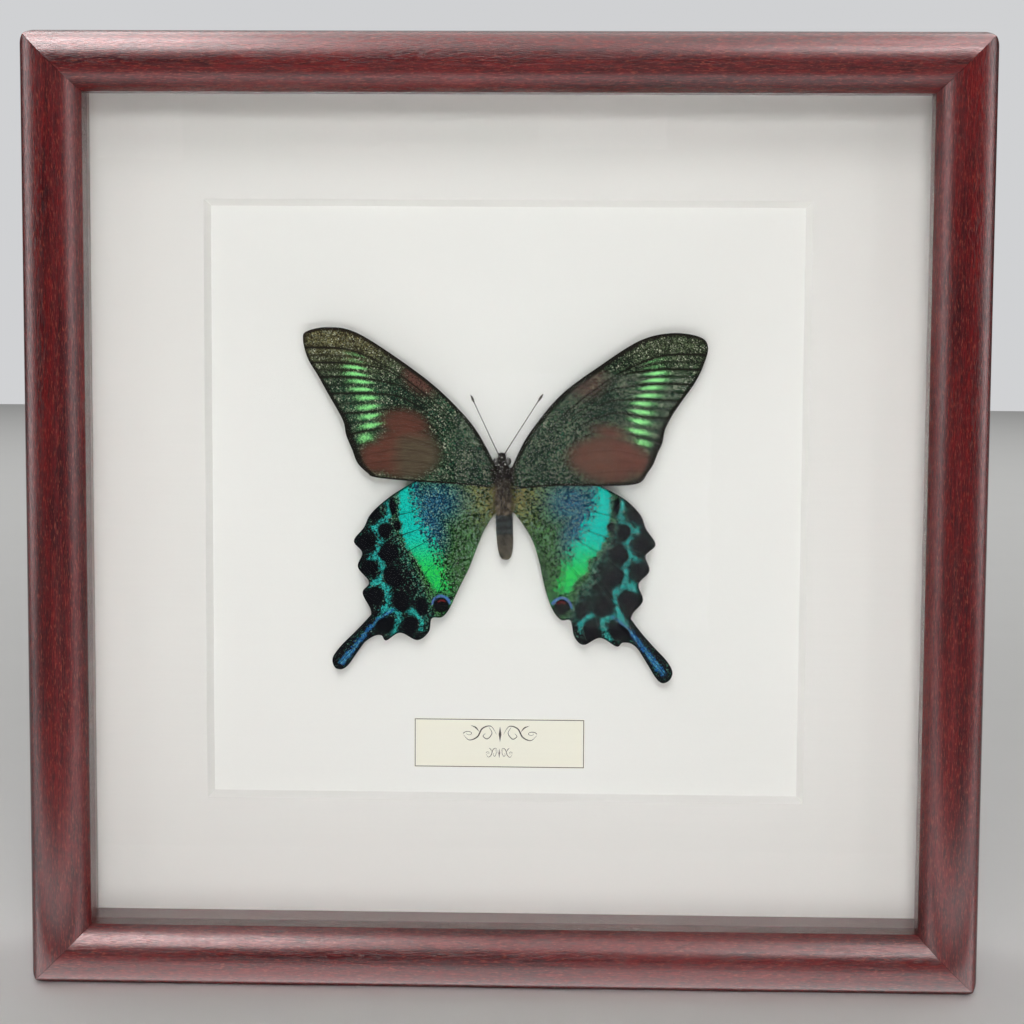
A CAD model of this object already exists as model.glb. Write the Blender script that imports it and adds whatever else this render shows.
"""A swallowtail specimen in a deep box frame: its fine surfaces and finishes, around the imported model.

Lengths in the tables below are millimetres, X along the width, Y towards the back and Z up.
Properties and meshes are in metres. Colours are written as 0 to 255 screen values.
"""

import math

import bpy
import numpy as np
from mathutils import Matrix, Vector


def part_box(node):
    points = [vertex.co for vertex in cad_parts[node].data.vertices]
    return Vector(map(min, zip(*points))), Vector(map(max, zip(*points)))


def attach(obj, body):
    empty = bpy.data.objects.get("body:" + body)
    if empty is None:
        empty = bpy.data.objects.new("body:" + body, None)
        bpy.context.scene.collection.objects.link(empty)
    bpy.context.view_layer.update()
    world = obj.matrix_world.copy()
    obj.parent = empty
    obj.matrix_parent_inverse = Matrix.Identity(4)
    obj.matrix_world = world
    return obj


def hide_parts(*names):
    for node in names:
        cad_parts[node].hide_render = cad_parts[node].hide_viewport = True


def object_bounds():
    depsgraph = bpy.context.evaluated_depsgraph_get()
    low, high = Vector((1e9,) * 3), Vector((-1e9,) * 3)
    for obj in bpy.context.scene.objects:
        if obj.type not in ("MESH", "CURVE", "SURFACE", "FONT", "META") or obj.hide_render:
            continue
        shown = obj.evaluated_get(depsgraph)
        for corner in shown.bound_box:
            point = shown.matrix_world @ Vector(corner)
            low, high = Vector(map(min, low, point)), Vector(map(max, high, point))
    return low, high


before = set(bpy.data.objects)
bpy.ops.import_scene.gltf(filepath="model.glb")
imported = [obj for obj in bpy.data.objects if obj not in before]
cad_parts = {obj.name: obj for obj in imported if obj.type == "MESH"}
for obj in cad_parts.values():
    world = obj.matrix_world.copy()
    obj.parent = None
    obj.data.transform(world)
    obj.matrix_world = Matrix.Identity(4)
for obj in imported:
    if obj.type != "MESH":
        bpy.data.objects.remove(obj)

CAD_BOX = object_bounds()
MM = 0.001

bl_info = {
    "name": "Framed Butterfly",
    "version": (1, 0, 0),
    "blender": (4, 5, 0),
    "location": "3D View > Sidebar > Framed Butterfly",
    "description": "Rails, label, butterfly and finishes of a framed specimen",
    "category": "Add Mesh",
}

# ---- Places taken from the frame, in millimetres ----


def box_mm(node):
    """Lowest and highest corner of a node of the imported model, in millimetres."""
    low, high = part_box(node)
    return np.array(low) / MM, np.array(high) / MM


HALF = (CAD_BOX[1][0] - CAD_BOX[0][0]) / 2 / MM
FRONT_Y, BACK_Y = (corner[1] for corner in box_mm("frame_rail_top"))
GLASS_Y = box_mm("glass_pane")[0][1]
LABEL_LOW, LABEL_HIGH = box_mm("specimen_label")
FOREWING_Y = box_mm("forewing_left")[0][1]
HINDWING_Y = box_mm("hindwing_left")[0][1]

# The middle of the thorax between the wing roots, how the body leans in the wings' plane, and how
# far it stands to the left of that middle.
BODY = np.array([-1.2, 12.6, 133.0])
BODY_TILT = math.radians(2.4)
BODY_SHIFT = -0.4


# ---- Properties ----


def screen(red, green, blue):
    """Linear colour of 0 to 255 screen values."""
    values = np.array([red, green, blue]) / 255
    linear = np.where(values <= 0.04045, values / 12.92, ((values + 0.055) / 1.055) ** 2.4)
    return tuple(float(value) for value in linear)


def length(name, description, millimetres):
    """A length setting in metres, from its default in millimetres."""
    return bpy.props.FloatProperty(
        name=name, description=description, default=millimetres * MM, unit="LENGTH", precision=5,
    )


def colour(name, description, red, green, blue):
    """A colour setting, from its default as 0 to 255 screen values."""
    return bpy.props.FloatVectorProperty(
        name=name, description=description, default=screen(red, green, blue),
        subtype="COLOR", size=3, min=0.0, max=1.0,
    )


def amount(name, description, default):
    """A setting without a unit."""
    return bpy.props.FloatProperty(name=name, description=description, default=default, subtype="FACTOR")


def power(name, description, default):
    """A lamp's power in watts."""
    return bpy.props.FloatProperty(name=name, description=description, default=default, unit="POWER")


def count(name, description, default):
    """A whole number of things."""
    return bpy.props.IntProperty(name=name, description=description, default=default, min=1)


class FrameSettings(bpy.types.PropertyGroup):
    """The rails, the label and the sheets behind the glass."""

    rail_face: length("Rail face", "Width of a rail seen from the front", 15.5)
    rail_wall: length("Rail wall", "Thickness of a rail behind its lip", 5.5)
    crest_inset: length("Crest inset", "From the outer face to the crest of the front", 7.2)
    shoulder_drop: length("Shoulder drop", "From the crest back to the outer shoulder", 4.8)
    slope_width: length("Slope width", "Half axis of the inner slope's ellipse, across", 9.4)
    slope_depth: length("Slope depth", "Half axis of the inner slope's ellipse, in depth", 12.0)
    corner_radius: length("Corner radius", "Rounding of the outer corners", 4.0)
    arris_radius: length("Arris radius", "Rounding of the sawn edges", 0.5)
    mitre_gap: length("Mitre gap", "Each rail ends this far short of the mitre line", 0.05)
    border_width: length("Border width", "Width of the label's printed border line", 0.21)
    wood_dark: colour("Wood, dark", "Stain in the dense grain", 48, 9, 14)
    wood_middle: colour("Wood, middle", "Stain over most of the wood", 102, 17, 20)
    wood_fleck: colour("Wood, flecks", "Short bright flecks of the grain", 164, 76, 58)
    mat_colour: colour("Mat", "The mat around the window", 236, 236, 231)
    card_colour: colour("Card", "The card behind the specimen", 242, 243, 238)
    label_colour: colour("Label", "The label's cream paper", 246, 245, 229)
    ink_colour: colour("Ink", "The label's printing", 62, 60, 52)
    board_colour: colour("Back board", "Pressed fibre board", 124, 88, 56)


class ButterflySettings(bpy.types.PropertyGroup):
    """The wings, the body and its hair."""

    wing_thickness: length("Wing thickness", "Thickness of a wing's membrane", 0.16)
    camber: length("Camber", "How far a wing bows towards the glass", 0.8)
    vein_height: length("Vein height", "How far the veins stand up", 0.1)
    thorax_hairs: count("Thorax hairs", "Number of hairs on the thorax", 5200)
    abdomen_hairs: count("Abdomen hairs", "Number of hairs on the abdomen", 5200)
    ground: colour("Ground", "Black-green ground of the wings", 12, 24, 20)
    brown: colour("Felt", "Red-brown felt patches of the forewings", 98, 58, 48)
    green_scales: colour("Green scales", "Scattered scales of the forewings", 104, 132, 100)
    streak: colour("Streaks", "Bright green streaks of the forewings", 142, 228, 142)
    teal: colour("Band, outer", "The hindwing band near the front edge", 16, 196, 178)
    green_band: colour("Band, inner", "The hindwing band near the tail", 40, 206, 84)
    blue: colour("Blue scales", "Blue zone beside the band", 58, 132, 172)
    red: colour("Eye spot red", "Crescent of the eye spot", 116, 36, 38)
    hair_dark: colour("Dark hair", "Hair of the body", 52, 42, 30)
    hair_gold: colour("Golden hair", "Tufts where the hindwings join", 152, 146, 82)
    chitin: colour("Chitin", "Skin of the head", 22, 18, 15)


class StageSettings(bpy.types.PropertyGroup):
    """The camera, the floor and the lights."""

    lens: bpy.props.FloatProperty(
        name="Lens", description="Focal length", default=82.514, unit="CAMERA",
    )
    camera_place: bpy.props.FloatVectorProperty(
        name="Camera place", description="Where the camera stands",
        default=(0.02067, -0.63535, 0.18653), subtype="TRANSLATION", unit="LENGTH", precision=5,
    )
    camera_turn: bpy.props.FloatVectorProperty(
        name="Camera turn", description="How the camera is turned",
        default=tuple(math.radians(value) for value in (84.518, -0.309, 1.770)),
        subtype="EULER", unit="ROTATION", precision=5,
    )
    floor_colour: colour("Floor", "The pale floor", 214, 214, 212)
    surround: amount("Surround", "Brightness of the room around the stage", 0.08)
    softbox: power("Softbox", "Power of the softbox above the camera", 1.38)
    upper: power("Upper light", "Power of the small light just above the lens", 1.22)
    front: power("Front light", "Power of the light below the lens", 1.1)
    side_lamp: power("Side lamps", "Power of each small lamp", 0.6)
    card_glow: power("Card glow", "Power of the reflection cards for each square metre over pi", 1.0)
    back: power("Back light", "Power of the panel over the floor behind", 34.0)


# ---- Curves and grids ----


def spline(points, at):
    """Uniform Catmull-Rom curve through the points, at fractional point numbers."""
    points = np.asarray(points, float)
    last = len(points) - 1
    at = np.clip(np.asarray(at, float), 0, last)
    i = np.minimum(at.astype(int), last - 1)
    t = (at - i)[:, None]
    p0, p1, p2, p3 = (points[np.clip(i + k, 0, last)] for k in (-1, 0, 1, 2))
    v0 = (p2 - p0) / 2
    v1 = (p3 - p1) / 2
    cubic = (2 * p1 - 2 * p2 + v0 + v1) * t**3
    return cubic + (3 * p2 - 3 * p1 - 2 * v0 - v1) * t**2 + v0 * t + p1


def by_length(path, share):
    """Points of a path at the given shares of its length."""
    steps = np.linalg.norm(np.diff(path, axis=0), axis=1)
    run = np.r_[0, np.cumsum(steps)]
    return np.stack([np.interp(share * run[-1], run, column) for column in path.T], axis=-1)


def arc(centre, radii, start, end, steps):
    """Points of an ellipse from one angle to another, in degrees: centre + (a cos, b sin)."""
    turn = np.radians(np.linspace(start, end, steps))
    return np.stack([centre[0] + radii[0] * np.cos(turn), centre[1] + radii[1] * np.sin(turn)], axis=-1)


def grid_faces(rows, columns, wrap=False):
    """Four corner numbers for each cell of a grid of points; wrap joins the last column to the first."""
    i = np.arange(rows - 1)[:, None]
    j = np.arange(columns if wrap else columns - 1)[None, :]
    k = (j + 1) % columns
    corners = (i * columns + j, i * columns + k, (i + 1) * columns + k, (i + 1) * columns + j)
    return np.stack(np.broadcast_arrays(*corners), axis=-1).reshape(-1, 4)


def tube_faces(rows, columns):
    """A closed tube: the grid's sides and a flat cap at each end."""
    caps = [list(range(columns))[::-1], [(rows - 1) * columns + j for j in range(columns)]]
    return grid_faces(rows, columns, wrap=True).tolist() + caps


def joined(parts):
    """Several (points, faces) shapes as one."""
    faces = []
    start = 0
    for points, part_faces in parts:
        faces += [[start + corner for corner in face] for face in part_faces]
        start += len(points)
    return np.concatenate([points for points, _ in parts]), faces


def distance_to_path(places, path):
    """Shortest distance from each place to a line through the path's points."""
    best = np.full(len(places), np.inf)
    for a, b in zip(path[:-1], path[1:]):
        along = np.clip((places - a) @ (b - a) / max((b - a) @ (b - a), 1e-9), 0, 1)
        best = np.minimum(best, np.linalg.norm(places - a - along[:, None] * (b - a), axis=1))
    return best


def smooth(low, high, value):
    """0 below low, 1 above high, and 3t² - 2t³ between them."""
    t = np.clip((value - low) / (high - low), 0, 1)
    return t * t * (3 - 2 * t)


def unit(vectors):
    """Each vector divided by its length."""
    return vectors / np.maximum(np.linalg.norm(vectors, axis=-1, keepdims=True), 1e-9)


def piece(name, points, faces, material, slot, replaces=(), values=None, sharp=None):
    """Puts a mesh into the scene, from points in millimetres, with its faces pointing outwards."""
    mesh = bpy.data.meshes.new(name)
    mesh.from_pydata((np.asarray(points) * MM).tolist(), [], [list(face) for face in faces])
    mesh.calc_loop_triangles()
    corners = np.empty(len(mesh.loop_triangles) * 3, np.int32)
    mesh.loop_triangles.foreach_get("vertices", corners)
    a, b, c = np.asarray(points)[corners.reshape(-1, 3)].transpose(1, 0, 2)
    if np.einsum("ij,ij->i", a, np.cross(b, c)).sum() < 0:
        mesh.flip_normals()
    mesh.shade_smooth()
    if sharp is not None:
        mesh.set_sharp_from_angle(angle=math.radians(sharp))
    for key, data in (values or {}).items():
        data = np.asarray(data, np.float32)
        kind, field = ("FLOAT", "value") if data.ndim == 1 else ("FLOAT_VECTOR", "vector")
        attribute = mesh.attributes.new(key, kind, "POINT")
        attribute.data.foreach_set(field, data.ravel())
    mesh.materials.append(material)
    made = bpy.data.objects.new(name, mesh)
    bpy.context.scene.collection.objects.link(made)
    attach(made, "root")
    if replaces:
        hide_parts(*replaces)
    return made


# ---- Shader tools ----


class Nodes:
    """Adds nodes to a tree and links them by plain calls. A socket given as a value is linked."""

    def __init__(self, tree):
        self.tree = tree

    def add(self, kind, *inputs, out=0, **settings):
        """One node; inputs are (name or number, value) pairs. Gives the output that out names."""
        node = self.tree.nodes.new(kind)
        for key, value in settings.items():
            setattr(node, key, value)
        for key, value in inputs:
            socket = node.inputs[key]
            if isinstance(value, bpy.types.NodeSocket):
                self.tree.links.new(value, socket)
            elif isinstance(value, (tuple, list)) and len(value) == 3 and socket.type == "RGBA":
                socket.default_value = (*value, 1.0)
            else:
                socket.default_value = value
        return node.outputs[out]

    def math(self, operation, *values):
        return self.add("ShaderNodeMath", *enumerate(values), operation=operation)

    def times(self, a, b):
        return self.math("MULTIPLY", a, b)

    def plus(self, a, b):
        return self.math("ADD", a, b)

    def minus(self, a, b):
        return self.math("SUBTRACT", a, b)

    def scaled(self, vector, scale, offset=(0.0, 0.0, 0.0)):
        """The vector times scale plus offset, one number for each axis."""
        return self.add(
            "ShaderNodeVectorMath", (0, vector), (1, scale), (2, offset), operation="MULTIPLY_ADD",
        )

    def mix(self, factor, a, b):
        return self.add("ShaderNodeMix", (0, factor), (6, a), (7, b), out=2, data_type="RGBA")

    def between(self, value, low, high, start=0.0, end=1.0):
        """Smooth step from start to end as value goes from low to high."""
        return self.add(
            "ShaderNodeMapRange", ("Value", value), ("From Min", low), ("From Max", high),
            ("To Min", start), ("To Max", end), interpolation_type="SMOOTHSTEP",
        )

    def noise(self, vector, scale=1.0, detail=2.0, roughness=0.5):
        return self.add(
            "ShaderNodeTexNoise", ("Vector", vector), ("Scale", scale), ("Detail", detail),
            ("Roughness", roughness),
        )

    def value_of(self, name):
        """A number that the mesh carries at each point."""
        return self.add("ShaderNodeAttribute", out="Fac", attribute_name=name)

    def vector_of(self, name):
        return self.add("ShaderNodeAttribute", out="Vector", attribute_name=name)

    def place(self):
        """The place on the object in millimetres."""
        where = self.add("ShaderNodeTexCoord", out="Object")
        return self.scaled(where, (1 / MM,) * 3)

    def bump(self, height, depth, strength=1.0):
        """A normal from a height of 0 to 1 that stands for a depth in millimetres."""
        return self.add(
            "ShaderNodeBump", ("Height", height), ("Distance", depth * MM), ("Strength", strength),
        )

    def group(self, name, *inputs):
        """Places a shared effect; gives its outputs by name."""
        node = self.tree.nodes.new("ShaderNodeGroup")
        node.node_tree = bpy.data.node_groups[name]
        for key, value in inputs:
            if isinstance(value, bpy.types.NodeSocket):
                self.tree.links.new(value, node.inputs[key])
            else:
                node.inputs[key].default_value = value
        return node.outputs


def effect(name, inputs, outputs, build):
    """A shader node group; build gets its nodes and inputs and gives back its outputs in order."""
    tree = bpy.data.node_groups.new(name, "ShaderNodeTree")
    for key, kind, default in inputs:
        socket = tree.interface.new_socket(key, in_out="INPUT", socket_type=kind)
        if default is not None:
            socket.default_value = default
    for key, kind in outputs:
        tree.interface.new_socket(key, in_out="OUTPUT", socket_type=kind)
    start = tree.nodes.new("NodeGroupInput")
    end = tree.nodes.new("NodeGroupOutput")
    results = build(Nodes(tree), start.outputs)
    for socket, result in zip(end.inputs, results):
        tree.links.new(result, socket)


def material(name, build, **plain):
    """A material with one Principled shader; build gives its linked inputs, plain its fixed ones."""
    made = bpy.data.materials.new(name)
    made.use_nodes = True
    tree = made.node_tree
    shader = tree.nodes["Principled BSDF"]
    for key, value in plain.items():
        shader.inputs[key.replace("_", " ").title().replace("Ior", "IOR")].default_value = value
    for key, value in build(Nodes(tree)).items():
        tree.links.new(value, shader.inputs[key])
    return made


FLOAT, VECTOR = "NodeSocketFloat", "NodeSocketVector"


def grain_effect(n, given):
    """Long soft figure, fine strands, short dark pores and pale flecks that run along X."""
    where = given["Place"]
    figure = n.noise(n.scaled(where, (0.015, 0.22, 0.22)), detail=3.0, roughness=0.6)
    strands = n.noise(n.scaled(where, (0.16, 2.2, 2.2), (7.0, 3.0, 1.0)), detail=4.0, roughness=0.7)
    pores = n.noise(n.scaled(where, (0.45, 4.4, 4.4), (2.0, 9.0, 5.0)), detail=2.0, roughness=0.6)
    flecks = n.noise(n.scaled(where, (0.6, 4.0, 4.0), (31.0, 4.0, 8.0)), detail=2.0, roughness=0.6)
    ripple = n.noise(n.scaled(where, (1.5, 3.6, 3.6), (5.0, 5.0, 2.0)), detail=3.0, roughness=0.7)
    tone = n.plus(n.times(figure, 0.4), n.times(strands, 0.6))
    tone = n.between(tone, 0.36, 0.62)
    pores = n.between(pores, 0.5, 0.64)
    flecks = n.between(flecks, 0.53, 0.7)
    height = n.minus(ripple, n.times(pores, 0.45))
    return tone, pores, flecks, height


def paper_effect(n, given):
    """Faint lines laid along X, soft clouds and a fine tooth."""
    where = given["Place"]
    laid = n.noise(n.scaled(where, (0.03, 1.0, 1.3)), detail=2.0)
    clouds = n.noise(n.scaled(where, (0.03, 0.03, 0.03)), detail=2.0)
    tooth = n.noise(n.scaled(where, (4.0, 4.0, 4.0)), detail=2.0)
    shade = n.plus(n.times(laid, 0.6), n.times(clouds, 0.4))
    height = n.plus(n.times(laid, 0.5), n.times(tooth, 0.5))
    return shade, height


def scales_effect(n, given):
    """Wing scales as small cells: some are bright, as many as Density says, each in its own shade."""
    cells = n.tree.nodes.new("ShaderNodeTexVoronoi")
    cells.voronoi_dimensions = "2D"
    size = n.math("DIVIDE", 1.0, given["Size"])
    flat = n.add("ShaderNodeSeparateXYZ", (0, given["Place"])).node
    turned = n.add("ShaderNodeCombineXYZ", (0, flat.outputs[0]), (1, flat.outputs[2]))
    scaled = n.add("ShaderNodeVectorMath", (0, turned), ("Scale", size), operation="SCALE")
    n.tree.links.new(scaled, cells.inputs["Vector"])
    cells.inputs["Scale"].default_value = 1.0
    chance = n.add("ShaderNodeSeparateColor", (0, cells.outputs["Color"])).node
    clump = n.noise(n.scaled(given["Place"], (0.9, 0.9, 0.9)), detail=2.0)
    density = n.plus(given["Density"], n.times(n.minus(clump, 0.5), 0.5))
    low = n.minus(density, 0.08)
    high = n.plus(density, 0.08)
    bright = n.add(
        "ShaderNodeMapRange", ("Value", chance.outputs[0]), ("From Min", low), ("From Max", high),
        ("To Min", 1.0), ("To Max", 0.0),
    )
    middle = n.between(cells.outputs["Distance"], 0.25, 0.62, 1.0, 0.35)
    bright = n.times(bright, middle)
    return bright, chance.outputs[1], chance.outputs[2], middle


def wear_effect(n, given):
    """Fine specks of dust and blotches, as two masks."""
    specks = n.noise(n.scaled(given["Place"], (1.6, 1.6, 1.6)), detail=3.0, roughness=0.7)
    blotches = n.noise(n.scaled(given["Place"], (0.12, 0.12, 0.12)), detail=4.0, roughness=0.6)
    return n.between(specks, 0.6, 0.74), blotches


def build_effects():
    """The shared effects, which the materials place by name."""
    place = [("Place", VECTOR, None)]
    effect("wood_grain", place, [("Tone", FLOAT), ("Pores", FLOAT), ("Flecks", FLOAT), ("Height", FLOAT)],
           grain_effect)
    effect("paper_fibre", place, [("Shade", FLOAT), ("Height", FLOAT)], paper_effect)
    effect("dust_and_wear", place, [("Specks", FLOAT), ("Blotches", FLOAT)], wear_effect)
    scale_inputs = place + [("Density", FLOAT, 0.4), ("Size", FLOAT, 0.3)]
    scale_outputs = [("Bright", FLOAT), ("Hue", FLOAT), ("Value", FLOAT), ("Height", FLOAT)]
    effect("wing_scales", scale_inputs, scale_outputs, scales_effect)


# ---- Materials ----


def wood(name, settings, where, coat=0.08):
    """Stained, lacquered hardwood. where gives the place on the board, with the grain along X."""
    def build(n):
        spot = where(n)
        grain = n.group("wood_grain", ("Place", spot))
        wear = n.group("dust_and_wear", ("Place", spot))
        base = n.mix(grain["Tone"], tuple(settings.wood_dark), tuple(settings.wood_middle))
        base = n.mix(n.times(grain["Flecks"], 0.42), base, tuple(settings.wood_fleck))
        base = n.mix(n.times(grain["Pores"], 0.6), base, screen(36, 9, 13))
        rough = n.plus(n.times(wear["Blotches"], 0.12), 0.12)
        return {
            "Base Color": base,
            "Roughness": rough,
            "Normal": n.bump(grain["Height"], 0.065, 0.75),
        }
    return material(
        name, build, specular_ior_level=0.19, coat_weight=coat, coat_roughness=0.25, coat_ior=1.5,
    )


def paper(name, colour_of, depth, contrast):
    """Laid paper; contrast is how much darker its thin places are."""
    def build(n):
        spot = n.place()
        fibre = n.group("paper_fibre", ("Place", spot))
        wear = n.group("dust_and_wear", ("Place", spot))
        darker = tuple(value * (1 - contrast) for value in colour_of)
        base = n.mix(fibre["Shade"], darker, tuple(colour_of))
        base = n.mix(n.times(wear["Specks"], 0.05), base, screen(190, 184, 170))
        rough = n.between(wear["Blotches"], 0.3, 0.7, 0.82, 0.92)
        return {"Base Color": base, "Roughness": rough, "Normal": n.bump(fibre["Height"], depth, 0.5)}
    return material(name, build, specular_ior_level=0.25)


def glass():
    """Picture glass with a low index, so that it lays no haze over the dark wings."""
    return material(
        "clear_glass", lambda n: {}, base_color=(1.0, 1.0, 1.0, 1.0), roughness=0.0, ior=1.08,
        transmission_weight=1.0, specular_ior_level=0.5,
    )


def fibre_board(settings):
    """Pressed wood fibres, with some paler ones at the surface."""
    def build(n):
        spot = n.place()
        wear = n.group("dust_and_wear", ("Place", spot))
        fibres = n.noise(n.scaled(spot, (1.1, 1.1, 1.9)), detail=4.0, roughness=0.7)
        dark = tuple(value * 0.62 for value in settings.board_colour)
        base = n.mix(n.between(fibres, 0.3, 0.7), dark, tuple(settings.board_colour))
        base = n.mix(n.times(wear["Specks"], 0.4), base, screen(168, 132, 92))
        rough = n.between(wear["Blotches"], 0.3, 0.7, 0.6, 0.85)
        return {"Base Color": base, "Roughness": rough, "Normal": n.bump(fibres, 0.12)}
    return material("fibre_board", build, specular_ior_level=0.35)


def metal(name, bright, dull):
    """Brushed metal that has gone dull in blotches."""
    def build(n):
        spot = n.place()
        wear = n.group("dust_and_wear", ("Place", spot))
        brushed = n.noise(n.scaled(spot, (6.0, 6.0, 0.6)), detail=2.0)
        base = n.mix(n.between(wear["Blotches"], 0.35, 0.7), bright, dull)
        rough = n.between(brushed, 0.2, 0.8, 0.28, 0.46)
        return {"Base Color": base, "Roughness": rough, "Normal": n.bump(brushed, 0.01, 0.5)}
    return material(name, build, metallic=1.0)


def ink(name, colour_of):
    """Printer's ink, thinner in places."""
    def build(n):
        grain = n.noise(n.place(), scale=5.0, detail=2.0)
        faded = tuple(value * 1.7 for value in colour_of)
        return {"Base Color": n.mix(n.between(grain, 0.35, 0.7), tuple(colour_of), faded)}
    return material(name, build, roughness=0.7, specular_ior_level=0.2)


def chitin(name, colour_of, coat=0.2):
    """Dark horn with soft lumps, paler where they rise."""
    def build(n):
        lumps = n.noise(n.place(), scale=3.2, detail=3.0)
        lighter = tuple(value * 2.4 + 0.004 for value in colour_of)
        base = n.mix(n.between(lumps, 0.4, 0.75), tuple(colour_of), lighter)
        rough = n.between(lumps, 0.2, 0.8, 0.34, 0.6)
        return {"Base Color": base, "Normal": n.bump(lumps, 0.06), "Roughness": rough}
    return material(name, build, specular_ior_level=0.12, coat_weight=coat, coat_roughness=0.25)


def hair(name, dark, light):
    """Hair that is darker at its root; each hair carries its own shade."""
    def build(n):
        tone = n.times(n.value_of("shade"), n.between(n.value_of("reach"), 0.0, 0.8, 0.35, 1.0))
        rough = n.between(n.value_of("shade"), 0.0, 1.0, 0.6, 0.45)
        return {"Base Color": n.mix(tone, dark, light), "Roughness": rough}
    return material(name, build, specular_ior_level=0.07)


# ---- Rails ----


def rail_section(settings):
    """Closed outline of a rail as (inset from the outer face, y): a quarter ellipse up to the crest,
    a longer ellipse down to the lip, the lip's wall, and the square rebate behind it."""
    face, wall, inset, drop, across, deep, round_off = (
        value / MM for value in (
            settings.rail_face, settings.rail_wall, settings.crest_inset, settings.shoulder_drop,
            settings.slope_width, settings.slope_depth, settings.arris_radius,
        )
    )
    end = math.acos((face - inset) / across)
    slope = math.degrees(math.atan2(across * math.sin(end), deep * math.cos(end)))
    lip_y = FRONT_Y + deep * (1 - math.sin(end))
    lip_round = 0.9
    behind = 0.5
    lip_centre = (face - lip_round, lip_y + lip_round * math.tan(math.radians(slope / 2)))
    return np.concatenate([
        arc((round_off, BACK_Y - round_off), (round_off, round_off), 90, 180, 7),
        [(0, BACK_Y - 2 * round_off), (0, 0), (0, FRONT_Y + drop + 0.6)],
        arc((inset, FRONT_Y + drop), (inset, drop), 180, 269, 26),
        arc((inset, FRONT_Y + deep), (across, deep), 270, 360 - math.degrees(end) - 1.2, 30),
        arc(lip_centre, (lip_round, lip_round), -slope, 0, 7),
        [(face, lip_centre[1] + 0.4), (face, GLASS_Y), (wall, GLASS_Y), (wall, GLASS_Y + behind)],
        arc((wall - round_off, BACK_Y - round_off), (round_off, round_off), 0, 90, 7),
    ])


def rail_shape(section, radius, gap):
    """The top rail: the section carried along x = s (half - inset - gap), with its ends on the mitre
    planes and its outer corners drawn in onto a cylinder of the corner radius."""
    end_zone = 0.035
    near_end = 1 - np.linspace(0, 1, 12)[:-1] ** 1.6 * end_zone
    shares = np.r_[near_end, np.linspace(1 - end_zone, end_zone - 1, 40), -near_end[::-1]]
    inset, y = section.T
    x = shares[:, None] * (HALF - inset - gap)[None, :]
    z = np.broadcast_to(HALF - inset, x.shape)
    inner = HALF - radius
    out = np.hypot(np.maximum(np.abs(x) - inner, 0), np.maximum(z - inner, 0))
    pull = np.where((np.abs(x) > inner) & (z > inner) & (out > radius), radius / np.maximum(out, 1e-9), 1)
    new_x = np.where(pull < 1, np.sign(x) * (inner + (np.abs(x) - inner) * pull), x)
    new_z = np.where(pull < 1, inner + (z - inner) * pull, z)
    y = np.broadcast_to(y, x.shape)
    return np.stack([new_x, y, new_z], axis=-1), len(shares)


# From one rail's place in the wood's grain to the next one's, so that no two look alike.
BOARD_STEP = (410.0, 37.0, 13.0)


def make_rails(settings):
    """Four copies of the top rail, each turned by a quarter about the frame's middle."""
    section = rail_section(settings)
    points, rows = rail_shape(section, settings.corner_radius / MM, settings.mitre_gap / MM)
    faces = tube_faces(rows, len(section))
    lacquered = wood("stained_rail_wood", settings, lambda n: n.vector_of("board"))
    for number, (side, turn) in enumerate((("top", 0), ("right", 90), ("bottom", 180), ("left", 270))):
        cos, sin = math.cos(math.radians(turn)), math.sin(math.radians(turn))
        x, y, z = points.reshape(-1, 3).T
        placed = np.stack([x * cos + z * sin, y, z * cos - x * sin + HALF], axis=-1)
        board = np.stack([x, y, z], axis=-1) + np.multiply(BOARD_STEP, number)
        piece(
            f"rail_{side}", placed, faces, lacquered, "stained_wood",
            replaces=[f"frame_rail_{side}"], values={"board": board}, sharp=32,
        )


# ---- Glass, sheets, spacers and fixings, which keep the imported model's shapes ----


def finish(names, made):
    """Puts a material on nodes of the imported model."""
    for name in names:
        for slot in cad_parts[name].material_slots:
            slot.material = made


def make_sheets(settings):
    """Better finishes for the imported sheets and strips, whose shapes stay."""
    polish = 0.9
    along_x = wood("spacer_wood_along", settings, lambda n: n.place(), polish)
    along_z = wood("spacer_wood_up", settings, lambda n: n.add(
        "ShaderNodeMapping", ("Vector", n.place()), ("Rotation", (0.0, math.pi / 2, 0.0)),
    ), polish)
    finish(["spacer_top", "spacer_bottom"], along_x)
    finish(["spacer_left", "spacer_right"], along_z)
    finish(["glass_pane"], glass())
    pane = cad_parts["glass_pane"]
    pane.visible_shadow = False
    pane.visible_diffuse = False
    finish(["mat_board"], paper("mat_paper", settings.mat_colour, 0.05, 0.035))
    finish(["backing_card"], paper("card_paper", settings.card_colour, 0.02, 0.015))
    finish(["specimen_label"], paper("label_paper", settings.label_colour, 0.02, 0.03))
    finish(["back_board"], fibre_board(settings))


def make_fixings():
    """Steel for the tabs and the pin, brass for the hanger."""
    steel = metal("worn_steel", screen(176, 176, 174), screen(120, 118, 112))
    brass = metal("brass_plate", screen(206, 170, 96), screen(150, 118, 60))
    tabs = [f"retaining_tab_{side}_{end}" for side in ("top", "right", "bottom", "left") for end in "ab"]
    finish(tabs + ["mounting_pin"], steel)
    finish(["hanger_plate", "hanger_screw_left", "hanger_screw_right"], brass)


# ---- Label ----


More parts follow.
